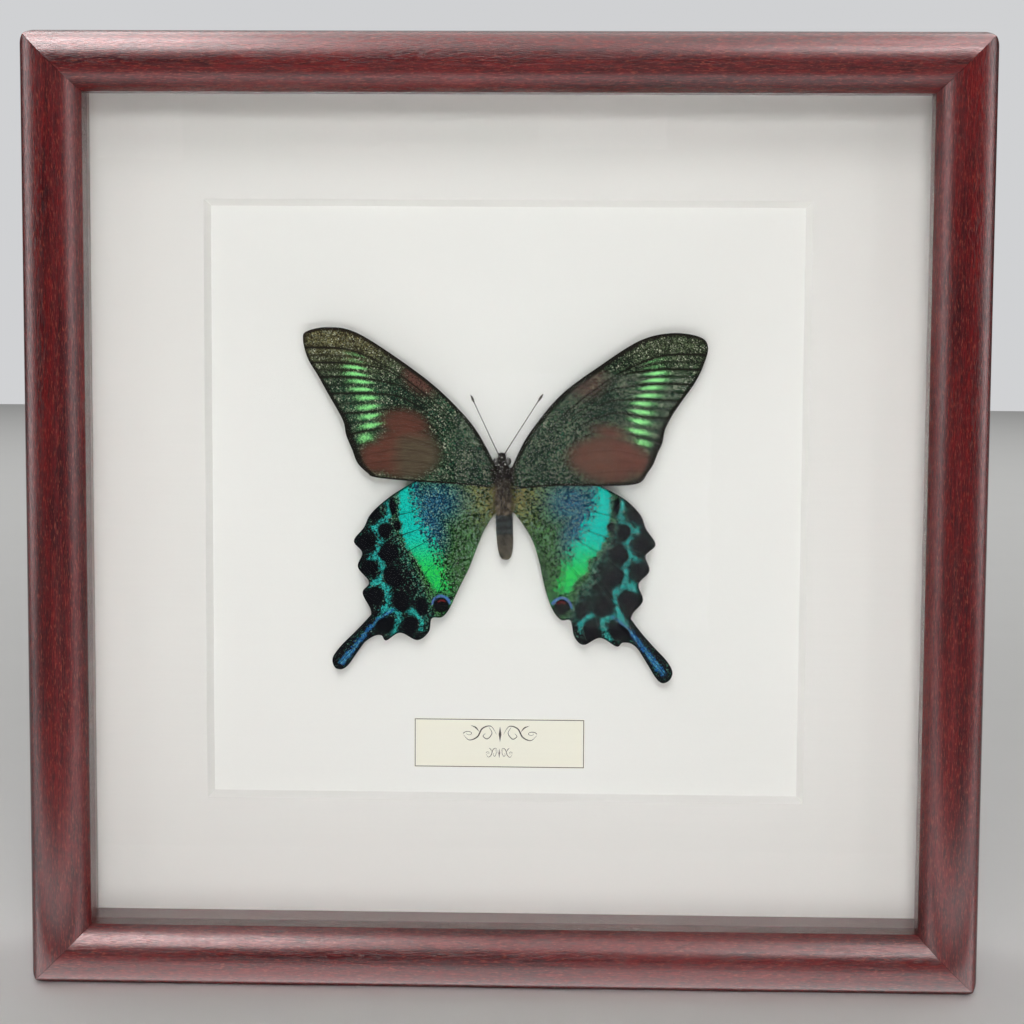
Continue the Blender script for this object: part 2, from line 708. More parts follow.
def ribbon(path, widths, y, thickness=0.03):
    """A flat closed stroke in the label's plane: four corners at each point of an [x, z] path."""
    ahead = np.gradient(path, axis=0)
    side = unit(np.stack([-ahead[:, 1], ahead[:, 0]], axis=-1)) * np.asarray(widths)[:, None] / 2
    left, right = path + side, path - side
    rings = []
    for edge, depth in ((left, y), (right, y), (right, y + thickness), (left, y + thickness)):
        rings.append(np.stack([edge[:, 0], np.full(len(edge), depth), edge[:, 1]], axis=-1))
    return np.stack(rings, axis=1).reshape(-1, 3), tube_faces(len(path), 4)


def scroll(centre, start_radius, turns, start, growth, steps=70):
    """A spiral: radius = start radius * exp(growth * turn), from the start angle in degrees."""
    turn = np.linspace(0, turns * 2 * math.pi, steps)
    radius = start_radius * np.exp(growth * turn)
    angle = math.radians(start) + turn
    return np.stack([centre[0] + radius * np.cos(angle), centre[1] + radius * np.sin(angle)], axis=-1)


def flourish(centre, reach, height, thick, y):
    """A printer's ornament: a lozenge between two mirrored scrolls, each with a leaf and a tail."""
    strokes = []
    for side in (-1, 1):
        def place(points, side=side):
            return np.asarray(points) * (side * reach, height) + centre
        share = np.linspace(0, 1, 60)
        swell = thick * (0.16 + np.sin(math.pi * share) ** 1.5)
        stem = spline([(0.1, 0.0), (0.25, 0.42), (0.48, 0.3), (0.62, -0.15), (0.84, -0.32), (1.0, -0.05)],
                      share * 5)
        strokes.append(ribbon(place(stem), swell, y))
        curl = scroll((0.86, 0.02), 0.14, 1.1, 0, -0.16, 60)
        strokes.append(ribbon(place(curl), thick * (0.62 - 0.5 * share), y))
        small = spline([(0.3, 0.36), (0.22, 0.05), (0.34, -0.25), (0.46, -0.12), (0.4, 0.04)], share * 4)
        strokes.append(ribbon(place(small), thick * (0.18 + 0.55 * np.sin(math.pi * share)), y))
        leaf = spline([(0.56, 0.1), (0.66, 0.34), (0.8, 0.46)], share * 2)
        strokes.append(ribbon(place(leaf), thick * (0.12 + 1.0 * np.sin(math.pi * share) ** 2), y))
    share = np.linspace(0, 1, 20)
    middle = np.stack([np.zeros(20), (share - 0.5) * 0.8 * height], axis=-1) + centre
    strokes.append(ribbon(middle, thick * (0.1 + 2.2 * (1 - np.abs(2 * share - 1))), y))
    return strokes


def make_label(settings):
    """A ruled border and two rows of ornament stand on the label's face, one of them paler."""
    y = LABEL_LOW[1] - 0.025
    middle = (LABEL_LOW + LABEL_HIGH)[[0, 2]] / 2
    width = settings.border_width / MM
    half = (LABEL_HIGH - LABEL_LOW)[[0, 2]] / 2 - 0.12 - width / 2
    corners = np.array([(-1, -1), (1, -1), (1, 1), (-1, 1)])
    rings = []
    for grow, depth in ((0.5, 0), (0.5, 0.03), (-0.5, 0.03), (-0.5, 0)):
        edge = corners * (half + grow * width) + middle
        rings.append(np.stack([edge[:, 0], np.full(4, y + depth), edge[:, 1]], axis=-1))
    points = np.concatenate(rings)
    faces = grid_faces(len(rings) + 1, 4, wrap=True) % len(points)
    dark = ink("printed_ink", settings.ink_colour)
    piece("label_border", points, faces.tolist(), dark, "label_card", sharp=30)
    upper = flourish(middle + (0.2, 2.6), 10.4, 5.4, 0.34, y)
    piece("label_ornament_upper", *joined(upper), dark, "label_card", sharp=30)
    pale = ink("printed_ink_pale", tuple(value * 2.6 for value in settings.ink_colour))
    lower = flourish(middle + (0.0, -2.9), 3.7, 3.4, 0.2, y)
    piece("label_ornament_lower", *joined(lower), pale, "label_card", sharp=30)


# ---- Wings ----

# Outlines, [x, z] from the middle of the thorax, from the leading root round to the trailing root.
# A pair has the same points in the same order, because no pair dries quite alike.
OUTLINES = {
    "forewing_left": [
        [-1.9, 3.4], [-8.2, 14.7], [-17.9, 25], [-29.6, 33.8], [-41.3, 40.9], [-49, 42.2],
        [-54.7, 41], [-55.7, 38.7], [-54.4, 33.6], [-51.6, 28.9], [-48.9, 24.1], [-46.1, 19.3],
        [-44.4, 15.9], [-43.7, 12.4], [-42, 8.3], [-40.6, 4.8], [-37.9, 2.1], [-35.4, 0.8],
        [-24.7, -0.2], [-9.5, -1.2], [-1.9, -2.4],
    ],
    "forewing_right": [
        [1.8, 3.2], [6.5, 12.7], [15.4, 23.8], [26.3, 32.1], [37.1, 39], [46, 41.1], [53.5, 40.1],
        [55.8, 37.3], [54.6, 32.3], [52.3, 27.5], [48.9, 22.6], [46.2, 18.5], [44.2, 14.4],
        [43.6, 11], [42.3, 8.2], [41.3, 5.4], [39.6, 2.7], [37, -0.3], [28.6, -1.1], [15, -1.2],
        [1.9, -2.4],
    ],
    "hindwing_left": [
        [-1.9, -1.4], [-12, 2.2], [-21, 1.5], [-28.9, -2.7], [-33.7, -6.2], [-37.2, -9.7],
        [-38.9, -13.2], [-41.7, -17], [-39.4, -20.3], [-40.6, -24.3], [-37.5, -28.5],
        [-39.3, -31.6], [-36.9, -36.9], [-38.6, -40.4], [-42.8, -43.9], [-46.2, -47.5],
        [-47.8, -50.3], [-47, -52.8], [-44.9, -53.1], [-42.8, -51.3], [-40, -46.7], [-36.5, -43.9],
        [-34.1, -43.5], [-32.7, -44.9], [-28.8, -42.7], [-24, -44.7], [-20.8, -42.3], [-20, -38.6],
        [-17.1, -38.1], [-15, -35.6], [-12.2, -29.6], [-9.5, -24.1], [-7.4, -18.5], [-5.4, -13.6],
        [-1.8, -7.9],
    ],
    "hindwing_right": [
        [1.9, -1.4], [12, 1.8], [22, 1], [28.9, -2.2], [34, -5.2], [37.9, -9.3], [39.3, -12.9],
        [42, -17.3], [39.3, -20.5], [40.4, -24.7], [37.5, -28.5], [38.7, -33], [35.8, -36.9],
        [36, -39.7], [40.3, -44.7], [45, -49.3], [47.1, -52.8], [46.4, -55.3], [44.3, -56.2],
        [42.2, -54.3], [38.7, -48.4], [36, -45.4], [33.2, -44.9], [31.5, -46], [26.9, -43.6],
        [22.4, -45.6], [19.8, -43.4], [18.6, -38.8], [16, -38.6], [13.4, -35.3], [11.3, -29],
        [10, -23], [8.1, -16.9], [5.3, -12.1], [1.9, -7.9],
    ],
}

# Left-hand veins: the outline point number where each ends, its [x, z] points from the root outwards,
# and whether it is a vein or only a guide for the surface.
FOREWING_VEINS = [
    (7.45, [(-16, 18.6), (-27, 27.8), (-34.1, 32.2), (-41.4, 35.6), (-47.4, 36.5)], True),
    (8.25, [(-16, 17.6), (-26, 25.8), (-32.2, 30.4), (-41.4, 32.1), (-46.5, 32.4)], True),
    (9.1, [(-15.5, 16.2), (-24, 22.6), (-29, 26.3), (-38.8, 28.2), (-44.9, 28.5)], True),
    (10.05, [(-14.5, 13.4), (-23, 20), (-29, 23.2), (-34.4, 23.9), (-40.1, 24.1)], True),
    (11.2, [(-13.5, 9.5), (-22, 16.6), (-30.6, 19.7), (-38.5, 18.8)], True),
    (13.0, [(-12.5, 6.4), (-19.5, 11.8), (-27.4, 15.1), (-36.9, 13.9)], True),
    (14.6, [(-11.5, 3.8), (-20, 7.4), (-30, 8.6)], True),
    (15.8, [(-10, 0.9), (-20, 1.7), (-30, 2.6)], True),
]
HINDWING_VEINS = [
    (6.0, [(-10, -2.2), (-20, -5.6), (-25.1, -8.5), (-29.4, -9.7), (-33.5, -11.4)], True),
    (8.0, [(-9, -4.6), (-17, -9.6), (-23.4, -13.4), (-27.9, -15.1), (-33.6, -17.8)], True),
    (10.0, [(-8.6, -6), (-15, -11.6), (-21.2, -16.7), (-26.4, -19.8), (-33, -25)], True),
    (12.4, [(-8.2, -7.2), (-13.8, -12.6), (-21, -19), (-27, -25), (-34.4, -34)], False),
    (17.0, [(-8, -7.8), (-13, -13.2), (-20.6, -20.6), (-25.1, -24.8), (-32.8, -34.5), (-37.4, -41.6),
            (-42.3, -47.6)], True),
    (21.7, [(-7.6, -9), (-12.6, -15.4), (-20, -23), (-24.6, -28), (-31, -37)], False),
    (24.0, [(-7.2, -10), (-12, -17), (-20.1, -24), (-22.3, -27), (-26, -34.6)], True),
    (26.6, [(-6, -10.5), (-10.6, -18), (-15, -25), (-19, -33)], True),
]
COLUMNS_PER_CELL = 30
ROWS = 150
WING_REACH = 64
VEIN_WIDTH = 0.3
# Outline point numbers where the front edge and the rear edge meet the margin.
FOREWING_CORNERS = (6, 17)
HINDWING_CORNERS = (4, 29)
# The wings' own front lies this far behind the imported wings' front.
WING_INSET = 0.1


def wing_guides(outline, corners, veins, mirrored_from=None):
    """The curves that the wing is stretched over: front edge, veins, rear edge, as [share, x/z] rows.
    A right wing's inner curves are the left one's, mirrored and moved to its own root and margin."""
    share = np.linspace(0, 1, ROWS)
    last = len(outline) - 1
    front = by_length(spline(outline, np.linspace(0, corners[0], 400)), share)
    rear = by_length(spline(outline, np.linspace(last, corners[1], 400)), share)
    root_a, root_b = np.array(outline[0]), np.array(outline[-1])
    curves = [front]
    for number, (end, inner, _) in enumerate(veins):
        start = root_a + (root_b - root_a) * (number + 1) / (len(veins) + 1)
        finish_at = spline(outline, [end])[0]
        if mirrored_from is None:
            path = np.array([start, *inner, finish_at])
            curve = by_length(spline(path, np.linspace(0, len(path) - 1, 400)), share)
        else:
            curve = mirrored_from[number + 1] * (-1, 1)
            curve = curve + np.outer(1 - share, start - curve[0]) + np.outer(share, finish_at - curve[-1])
        curves.append(curve)
    return curves + [rear]


def wing_grid(outline, corners, veins, curves):
    """P(u, t): straight blends between neighbouring guides, with the last share pulled onto the
    outline: P = L(u, t) + t^9 (margin(u) - L(u, 1))."""
    stops = [corners[0], *[end for end, _, _ in veins], corners[1]]
    cell = np.linspace(0, len(stops) - 1, (len(stops) - 1) * COLUMNS_PER_CELL + 1)
    k = np.minimum(cell.astype(int), len(stops) - 2)
    part = (cell - k)[:, None, None]
    curves = np.array(curves)
    loft = curves[k] * (1 - part) + curves[k + 1] * part
    margin = spline(outline, np.interp(cell, np.arange(len(stops)), stops))
    margin[0], margin[-1] = curves[0][-1], curves[-1][-1]
    share = np.linspace(0, 1, ROWS)
    pull = (share**9)[None, :, None]
    return loft + pull * (margin - loft[:, -1])[:, None, :], cell


def blob(places, centre, radii, turn=0.0):
    """Signed distance, near its edge, to an ellipse turned by some degrees; negative inside."""
    a = math.radians(turn)
    x, z = (places - centre).T
    u = (x * math.cos(a) + z * math.sin(a)) / radii[0]
    v = (z * math.cos(a) - x * math.sin(a)) / radii[1]
    return (np.hypot(u, v) - 1) * min(radii)


def stroke_field(places, path, radii):
    """Signed distance to a stroke whose half width goes through the given values along its path."""
    path = np.array(path, float)
    fine = spline(path, np.linspace(0, len(path) - 1, 40))
    radii = np.interp(np.linspace(0, 1, 40), np.linspace(0, 1, len(radii)), radii)
    best = np.full(len(places), np.inf)
    for a, b, radius in zip(fine[:-1], fine[1:], radii):
        along = np.clip((places - a) @ (b - a) / ((b - a) @ (b - a)), 0, 1)
        reach = np.linalg.norm(places - a - along[:, None] * (b - a), axis=1) - radius
        best = np.minimum(best, reach)
    return best


def vein_distances(grid, cell, veins):
    """Distance to the nearest vein and to the nearest fold midway between two guides."""
    lines = np.array([0.0] + [i + 1.0 for i, (_, _, is_vein) in enumerate(veins) if is_vein]
                     + [len(veins) + 1.0])
    nearest = np.abs(cell[:, None] - lines).argmin(axis=1)
    vein_column = (lines[nearest] * COLUMNS_PER_CELL).astype(int)
    fold_column = ((np.floor(np.clip(cell, 0, len(veins) + 0.999)) + 0.5) * COLUMNS_PER_CELL).astype(int)
    to_vein = np.linalg.norm(grid - grid[vein_column], axis=2)
    to_fold = np.linalg.norm(grid - grid[fold_column], axis=2)
    return to_vein, to_fold


# Forewing streaks: middle of the bright pair in each cell, its length towards the root and towards
# the margin, and how bright it is. Cells are counted from the front edge. The last cell has only
# one streak, in the half next to the cell before it.
STREAKS = [
    (1, (-41.1, 34.3), 4.5, 4.5, 0.45),
    (2, (-41.0, 30.6), 4.2, 4.6, 1.0),
    (3, (-39.2, 26.3), 4.2, 5.0, 0.95),
    (4, (-37.4, 21.6), 4.0, 5.0, 0.9),
    (5, (-36.9, 16.4), 3.8, 4.4, 0.95),
    (6, (-38.2, 11.0), 3.0, 3.4, 0.75),
]
SINGLE_STREAK_CELL = 6

# Felt patches of each forewing, as (middle, half sizes, turn), in left-hand places.
FELT = {
    "left": [
        ((-27.2, 7.6), (9.6, 7.4), 0), ((-35.0, 6.4), (5.6, 4.6), 20), ((-27.6, 15.6), (6.6, 4.0), -12),
    ],
    "right": [
        ((-28.0, 6.6), (10.8, 6.8), 0), ((-36.0, 5.0), (4.6, 4.2), 10), ((-29.4, 14.4), (4.6, 2.0), 8),
    ],
}


def forewing_fields(grid, cell, side):
    """Where each colour of a forewing lies, as numbers from 0 to 1 or distances in millimetres."""
    places = grid.reshape(-1, 2)
    share = np.broadcast_to(np.linspace(0, 1, ROWS), grid.shape[:2]).ravel()
    cells = np.repeat(cell, ROWS)
    inside = cells % 1
    x, z = places.T
    to_margin = (1 - share) * np.repeat(np.linalg.norm(grid[:, -1] - grid[:, 0], axis=1), ROWS)
    front_edge = distance_to_path(places, grid[0])
    rear_edge = distance_to_path(places, grid[-1])
    lobes = np.sin(2 * math.pi * inside) ** 2
    streak = np.zeros(len(places))
    for number, (centre_x, centre_z), inward, outward, strength in STREAKS:
        along = x - centre_x
        tilt = (z - centre_z) * 0.1
        along = (along + tilt) / np.where(along > 0, inward, outward)
        here = (cells >= number) & (cells <= number + 1)
        narrow = 0.75 + 1.6 * np.clip(along, 0, 2)
        shape = np.maximum(lobes, 0) ** narrow * np.exp(-(np.abs(along) ** 2.2) * 1.5)
        if number == SINGLE_STREAK_CELL:
            shape = np.where(inside < 0.55, np.sin(math.pi * np.clip(inside / 0.55, 0, 1)), 0)
            shape = shape * np.exp(-(np.abs(along) ** 2.4) * 1.6)
        streak = np.where(here, strength * shape, streak)
    felt = smooth(1.6, -2.4, np.minimum.reduce([blob(places, *patch) for patch in FELT[side]]))
    felt_red = np.clip(smooth(-27, -33, x) + smooth(10.5, 14.5, z), 0, 1)
    red = smooth(1.8, -2.0, blob(places, (-23.3, 28.0), (5.2, 3.4), -38))
    if side == "right":
        felt_red = 0.75 + 0.25 * felt_red
        red = red * 0.6
    margin_width = np.interp(z, [2, 10, 16, 30, 38], [1.3, 1.7, 1.4, 0.8, 0.5])
    border = np.maximum(smooth(margin_width + 0.7, margin_width - 0.6, to_margin),
                        smooth(1.3, 0.5, front_edge))
    border = np.maximum(border, smooth(0.7, 0.3, rear_edge))
    outer = smooth(18, 4, to_margin) * smooth(-26, -34, x)
    dust = 0.40 + 0.16 * outer - 0.24 * smooth(7, 2, np.hypot(x + 27, z - 21.5) / 1.3)
    strip = smooth(1.6, 0.5, rear_edge) * smooth(-20, -24, x) * smooth(-38, -33, x)
    dust = np.maximum(dust * (1 - 0.88 * felt) * (1 - 0.7 * red), 0.45 * strip)
    dust = dust * (1 - 0.92 * border) * (1 - 0.35 * smooth(24, 6, np.hypot(x + 2, z + 1)))
    if side == "right":
        dust = dust * (1 - 0.2 * smooth(26, 34, z))
    olive = smooth(24, 40, z) * smooth(-20, -36, x)
    olive = olive * (1.0 if side == "left" else 0.35)
    outward = smooth(3.0, -5.0, x - np.interp(z, [8, 20, 34], [-37.5, -38, -41]))
    stripes = 1 - outward * (1 - np.clip(0.25 + 0.85 * lobes, 0, 1)) * smooth(0.3, 1.2, cells)
    return {
        "felt_red": felt_red, "stripes": stripes,
        "streak": streak * (1 - border), "felt": felt * (1 - 0.85 * border), "red": red * (1 - border),
        "dust": dust, "olive": olive, "border": border,
    }


# Marks of the left hindwing: the band's middle line, black spots as (middle, half sizes, turn),
# crescents as (path, half widths), the tail's stripe and the eye spot's middle.
BAND = [(-27.6, -3.2), (-27.2, -7.5), (-26.7, -10.5), (-25.8, -13.5), (-24, -17), (-21.8, -21),
        (-20, -25), (-18.2, -29.4)]
INNER_SPOTS = [
    ((-30.9, -7.3), (1.1, 2.9), 8), ((-33.1, -14.0), (2.0, 2.3), 0), ((-31.9, -20.2), (3.0, 2.7), 20),
    ((-30.9, -27.0), (2.5, 3.4), 35), ((-28.6, -33.9), (2.3, 3.2), 20), ((-22.8, -35.3), (1.8, 2.8), 12),
    ((-29.6, -12.6), (1.2, 1.6), 0),
]
MARGIN_SPOTS = [
    ((-36.3, -9.2), (2.2, 1.9), -40), ((-38.3, -17.2), (2.5, 2.2), 0), ((-37.5, -24.5), (2.4, 2.2), 0),
    ((-36.0, -32.4), (2.6, 2.6), 0), ((-33.1, -40.6), (2.6, 2.1), 0), ((-26.0, -40.5), (2.2, 2.5), 0),
]
CRESCENTS = [
    ([(-32.6, -5.4), (-31.9, -8.6), (-32.7, -11.2), (-36.8, -13.5)], (0.5, 0.9, 0.85, 0.45)),
    ([(-36.8, -13.6), (-35.0, -14.2), (-34.2, -17.2), (-35.2, -19.9), (-37.2, -21.6)],
     (0.5, 0.8, 0.95, 0.75, 0.45)),
    ([(-37.2, -21.7), (-34.8, -21.5), (-33.6, -24), (-34.1, -27), (-37.0, -29.6)],
     (0.45, 0.75, 0.95, 0.8, 0.5)),
    ([(-37.2, -29.4), (-34.6, -28.4), (-32.2, -31.1), (-32.6, -35.2), (-34.6, -38.3)],
     (0.5, 0.8, 0.95, 0.9, 0.5)),
    ([(-32.4, -36.2), (-29.8, -36.6), (-29.3, -39.2), (-31.2, -43.1)], (0.9, 1.0, 0.8, 0.5)),
    ([(-27.2, -36.0), (-24.6, -37.2), (-22.9, -38.9), (-23.1, -41.4)], (0.5, 0.9, 0.9, 0.5)),
]
TAIL_STRIPE = [(-30.6, -36.2), (-32.8, -37.4), (-35.2, -39.4), (-37.6, -42.0), (-40.2, -45.2),
               (-43.2, -48.8), (-45.2, -51)]
EYE_SPOT = (-17.4, -34.7)


def hindwing_fields(grid):
    """Where each colour of a hindwing lies. Fields in millimetres are negative inside their shape."""
    places = grid.reshape(-1, 2)
    x, z = places.T
    eye_x, eye_z = EYE_SPOT
    band = stroke_field(places, BAND, (1.3, 1.7, 2.2, 2.7, 2.9, 2.5, 1.9, 1.1))
    crescents = np.minimum.reduce([
        stroke_field(places, path, np.array(radii) * 0.55) for path, radii in CRESCENTS
    ])
    inner = np.minimum.reduce([blob(places, *spot) for spot in INNER_SPOTS])
    marginal = np.minimum.reduce([blob(places, *spot) for spot in MARGIN_SPOTS])
    stripe = stroke_field(places, TAIL_STRIPE, (0.3, 0.3, 0.35, 0.45, 0.6, 0.75, 0.6))
    rim = distance_to_path(places, np.concatenate([grid[0], grid[:, -1]]))
    rear = distance_to_path(places, grid[-1])
    eye = blob(places, EYE_SPOT, (2.0, 2.0))
    blue_arc = distance_to_path(places, scroll(EYE_SPOT, 2.5, 0.42, 12, 0.0, 24)) - 0.3
    eye_red = distance_to_path(places, scroll((eye_x + 0.2, eye_z), 1.3, 0.24, 46, 0.0, 20)) - 0.17
    eye_arc = np.minimum(blue_arc, stroke_field(places, [(-19.5, -33.6), (-20.0, -34.6)], (0.25, 0.2)))
    teal = np.minimum(np.maximum(band, -inner + 0.2), np.maximum(crescents, 0.4 - rim))
    teal = np.maximum(teal, -(marginal - 0.1))
    across = band_side(places)
    basal = smooth(-1.0, 1.5, across) * smooth(0.5, 2.5, eye)
    basal = basal * smooth(0.0, 1.0, rim)
    outer_dust = (0.07 + 0.5 * smooth(-8.5, -2.0, across)) * (1 - basal)
    blue = np.maximum.reduce([
        0.85 * smooth(4.4, -4.6, blob(places, (-19.6, -6.2), (6.6, 5.0), 10)),
        0.9 * smooth(3.4, -2.6, blob(places, (-21.4, -11.6), (3.4, 6.6), 24)),
        smooth(2.4, 0.2, np.abs(across - 3.0)) * smooth(-19, -14, z) * 0.8,
    ])
    golden = smooth(16, 3, np.hypot(x, z + 3))
    green_along = smooth(-13, -26, z) * smooth(-28.5, -25, x)
    ragged = np.where(across > -3, 0.9 + 5.0 * smooth(-0.6, 3.0, across) * smooth(8, 5, across), 1.7)
    return {
        "glow": smooth(7.0, 0.5, np.abs(across)) * smooth(-4.5, -1, across),
        "deep": smooth(-3.0, -5.0, across),
        "teal": teal, "stripe": stripe, "inner": inner, "marginal": marginal, "basal": basal,
        "blue": blue, "golden": golden, "green": green_along, "dust": outer_dust + 0.5 * basal,
        "ragged": ragged, "eye_arc": eye_arc, "eye_red": eye_red, "rim": rim, "rear": rear,
        "eye": np.maximum(eye, -9.0),
    }


def band_side(places):
    """Distance from the band's middle line, positive towards the body."""
    fine = spline(BAND, np.linspace(0, len(BAND) - 1, 60))
    nearest = np.linalg.norm(places[:, None] - fine[None], axis=2).argmin(axis=1)
    ahead = np.gradient(fine, axis=0)
    normal = unit(np.stack([-ahead[:, 1], ahead[:, 0]], axis=-1))
    return np.einsum("ij,ij->i", places - fine[nearest], normal[nearest])


def forewing_material(settings):
    """Dark ground under two sizes of scattered scales, then felt, red zone, streaks, border and veins."""
    def build(n):
        spot = n.place()
        patches = n.between(n.noise(n.scaled(spot, (0.16, 0.16, 0.16)), detail=3.0), 0.35, 0.65, 0.62, 1.15)
        dust = n.times(n.value_of("dust"), patches)
        scales = n.group("wing_scales", ("Place", spot), ("Density", dust), ("Size", 0.33))
        fine = n.group("wing_scales", ("Place", n.scaled(spot, (1.0, 1.0, 1.0), (40.0, 0.0, 9.0))),
                       ("Density", n.times(dust, 1.2)), ("Size", 0.25))
        strands = n.noise(n.scaled(spot, (0.35, 1.0, 2.6)), detail=3.0, roughness=0.6)
        base = n.mix(strands, tuple(settings.ground), screen(20, 34, 27))
        base = n.mix(n.value_of("olive"), base, screen(42, 36, 24))
        tint = n.mix(n.between(scales["Hue"], 0.4, 0.1), tuple(settings.green_scales), screen(40, 98, 74))
        tint = n.mix(n.times(n.value_of("olive"), 0.85), tint, screen(150, 138, 92))
        tint = n.mix(n.between(scales["Hue"], 0.6, 0.98), tint, screen(216, 218, 192))
        lit = n.times(scales["Bright"], n.between(scales["Value"], 0.0, 1.0, 0.2, 0.95))
        lit = n.times(lit, n.value_of("stripes"))
        base = n.mix(lit, base, tint)
        glow = n.times(n.times(fine["Bright"], 0.5), n.value_of("stripes"))
        base = n.mix(glow, base, n.mix(0.45, tint, screen(58, 88, 54)))
        felt_tone = n.mix(n.value_of("felt_red"), screen(84, 74, 58), tuple(settings.brown))
        felt_tone = n.mix(n.between(strands, 0.35, 0.7, 0.0, 0.5), felt_tone, screen(58, 44, 36))
        felt = n.times(n.value_of("felt"), 0.96)
        base = n.mix(felt, base, felt_tone)
        red_tone = n.mix(scales["Value"], screen(58, 30, 30), screen(116, 76, 66))
        base = n.mix(n.times(n.value_of("red"), 0.75), base, red_tone)
        speck = n.times(n.minus(scales["Hue"], 0.5), 0.34)
        streak = n.between(n.plus(n.value_of("streak"), speck), 0.08, 1.0)
        streak_tone = n.mix(streak, screen(84, 156, 82), tuple(settings.streak))
        base = n.mix(streak, base, streak_tone)
        border = n.times(n.value_of("border"), 0.8)
        base = n.mix(border, base, screen(24, 19, 17))
        vein = n.times(n.between(n.value_of("vein"), 0.5, 0.1), n.between(felt, 0.6, 0.1, 0.2, 0.9))
        fold = n.times(n.between(n.value_of("fold"), 0.4, 0.05), 0.3)
        base = n.mix(n.math("MAXIMUM", vein, fold), base, screen(22, 20, 16))
        height = n.plus(n.times(scales["Height"], 0.5), n.times(strands, 0.6))
        rough = n.between(streak, 0.0, 1.0, 0.62, 0.5)
        return {"Base Color": base, "Roughness": rough, "Normal": n.bump(height, 0.05, 0.7)}
    return material("forewing_scale_cover", build, specular_ior_level=0.02)


def hindwing_material(settings):
    """Black ground, dusted basal half, band and crescents, tail stripe, eye spot, black spots, veins."""
    def build(n):
        spot = n.place()
        scales = n.group("wing_scales", ("Place", spot), ("Density", n.value_of("dust")), ("Size", 0.30))
        grain = n.times(n.minus(scales["Hue"], 0.5), 0.7)
        drift = n.times(n.minus(n.noise(spot, scale=0.8, detail=2.0), 0.5), 1.6)

        def inside(name, soft=0.3, grow=0.0, ragged=1.0):
            """1 inside the shape whose distance the mesh carries, with its edge broken by scales."""
            field = n.plus(n.value_of(name), n.times(n.plus(grain, drift), ragged))
            return n.between(field, grow + soft, grow - soft)

        base = n.mix(scales["Height"], screen(4, 5, 7), screen(12, 13, 16))
        basal_tint = n.mix(n.value_of("golden"), screen(86, 146, 78), screen(172, 158, 88))
        basal_tint = n.mix(n.value_of("blue"), basal_tint, tuple(settings.blue))
        basal_tint = n.mix(n.value_of("deep"), basal_tint, screen(54, 140, 116))
        basal_tint = n.mix(n.between(scales["Hue"], 0.6, 0.98), basal_tint, screen(150, 196, 166))
        glow_tone = n.mix(n.value_of("green"), screen(34, 170, 156), screen(62, 182, 92))
        basal_tint = n.mix(n.times(n.value_of("glow"), 0.6), basal_tint, glow_tone)
        floor_tint = n.mix(n.value_of("blue"), screen(14, 28, 15), screen(14, 46, 74))
        base = n.mix(n.value_of("basal"), base, floor_tint)
        lit = n.times(scales["Bright"], n.between(scales["Value"], 0.0, 1.0, 0.4, 1.0))
        base = n.mix(lit, base, basal_tint)
        band_tone = n.mix(n.value_of("green"), tuple(settings.teal), tuple(settings.green_band))
        band_tone = n.mix(n.between(scales["Value"], 0.2, 1.0, 0.0, 0.6), band_tone, screen(2, 92, 88))
        deep_tone = n.mix(scales["Value"], screen(8, 84, 88), screen(50, 190, 176))
        band_tone = n.mix(n.value_of("deep"), band_tone, deep_tone)
        base = n.mix(inside("teal", 0.45, 0.1, n.value_of("ragged")), base, band_tone)
        stripe_tone = n.mix(n.between(scales["Hue"], 0.4, 0.9), screen(24, 88, 150), screen(96, 182, 200))
        stripe = n.times(inside("stripe", 0.3, 0.0, 1.0), n.between(scales["Value"], 0.1, 0.4, 0.4, 1.0))
        base = n.mix(stripe, base, stripe_tone)
        arc_tone = n.mix(scales["Hue"], screen(50, 118, 178), screen(96, 92, 160))
        base = n.mix(inside("eye", 0.25, 0.2, 0.2), base, screen(8, 9, 11))
        base = n.mix(inside("eye_arc", 0.2, 0.0, 0.3), base, arc_tone)
        base = n.mix(inside("eye_red", 0.2, 0.0, 0.2), base, tuple(settings.red))
        spots = n.math("MAXIMUM", inside("inner", 0.3, -0.1, 0.35), inside("marginal", 0.3, 0.0, 0.3))
        base = n.mix(spots, base, screen(4, 5, 9))
        base = n.mix(n.times(n.between(n.value_of("rim"), 0.7, 0.3), 0.85), base, screen(8, 9, 11))
        vein = n.times(n.between(n.value_of("vein"), 0.22, 0.06), 0.85)
        base = n.mix(vein, base, screen(10, 22, 22))
        height = n.times(scales["Height"], 0.8)
        return {"Base Color": base, "Normal": n.bump(height, 0.05, 0.7),
                "Roughness": n.between(scales["Value"], 0.0, 1.0, 0.45, 0.65)}
    return material("hindwing_scale_cover", build, specular_ior_level=0.02)


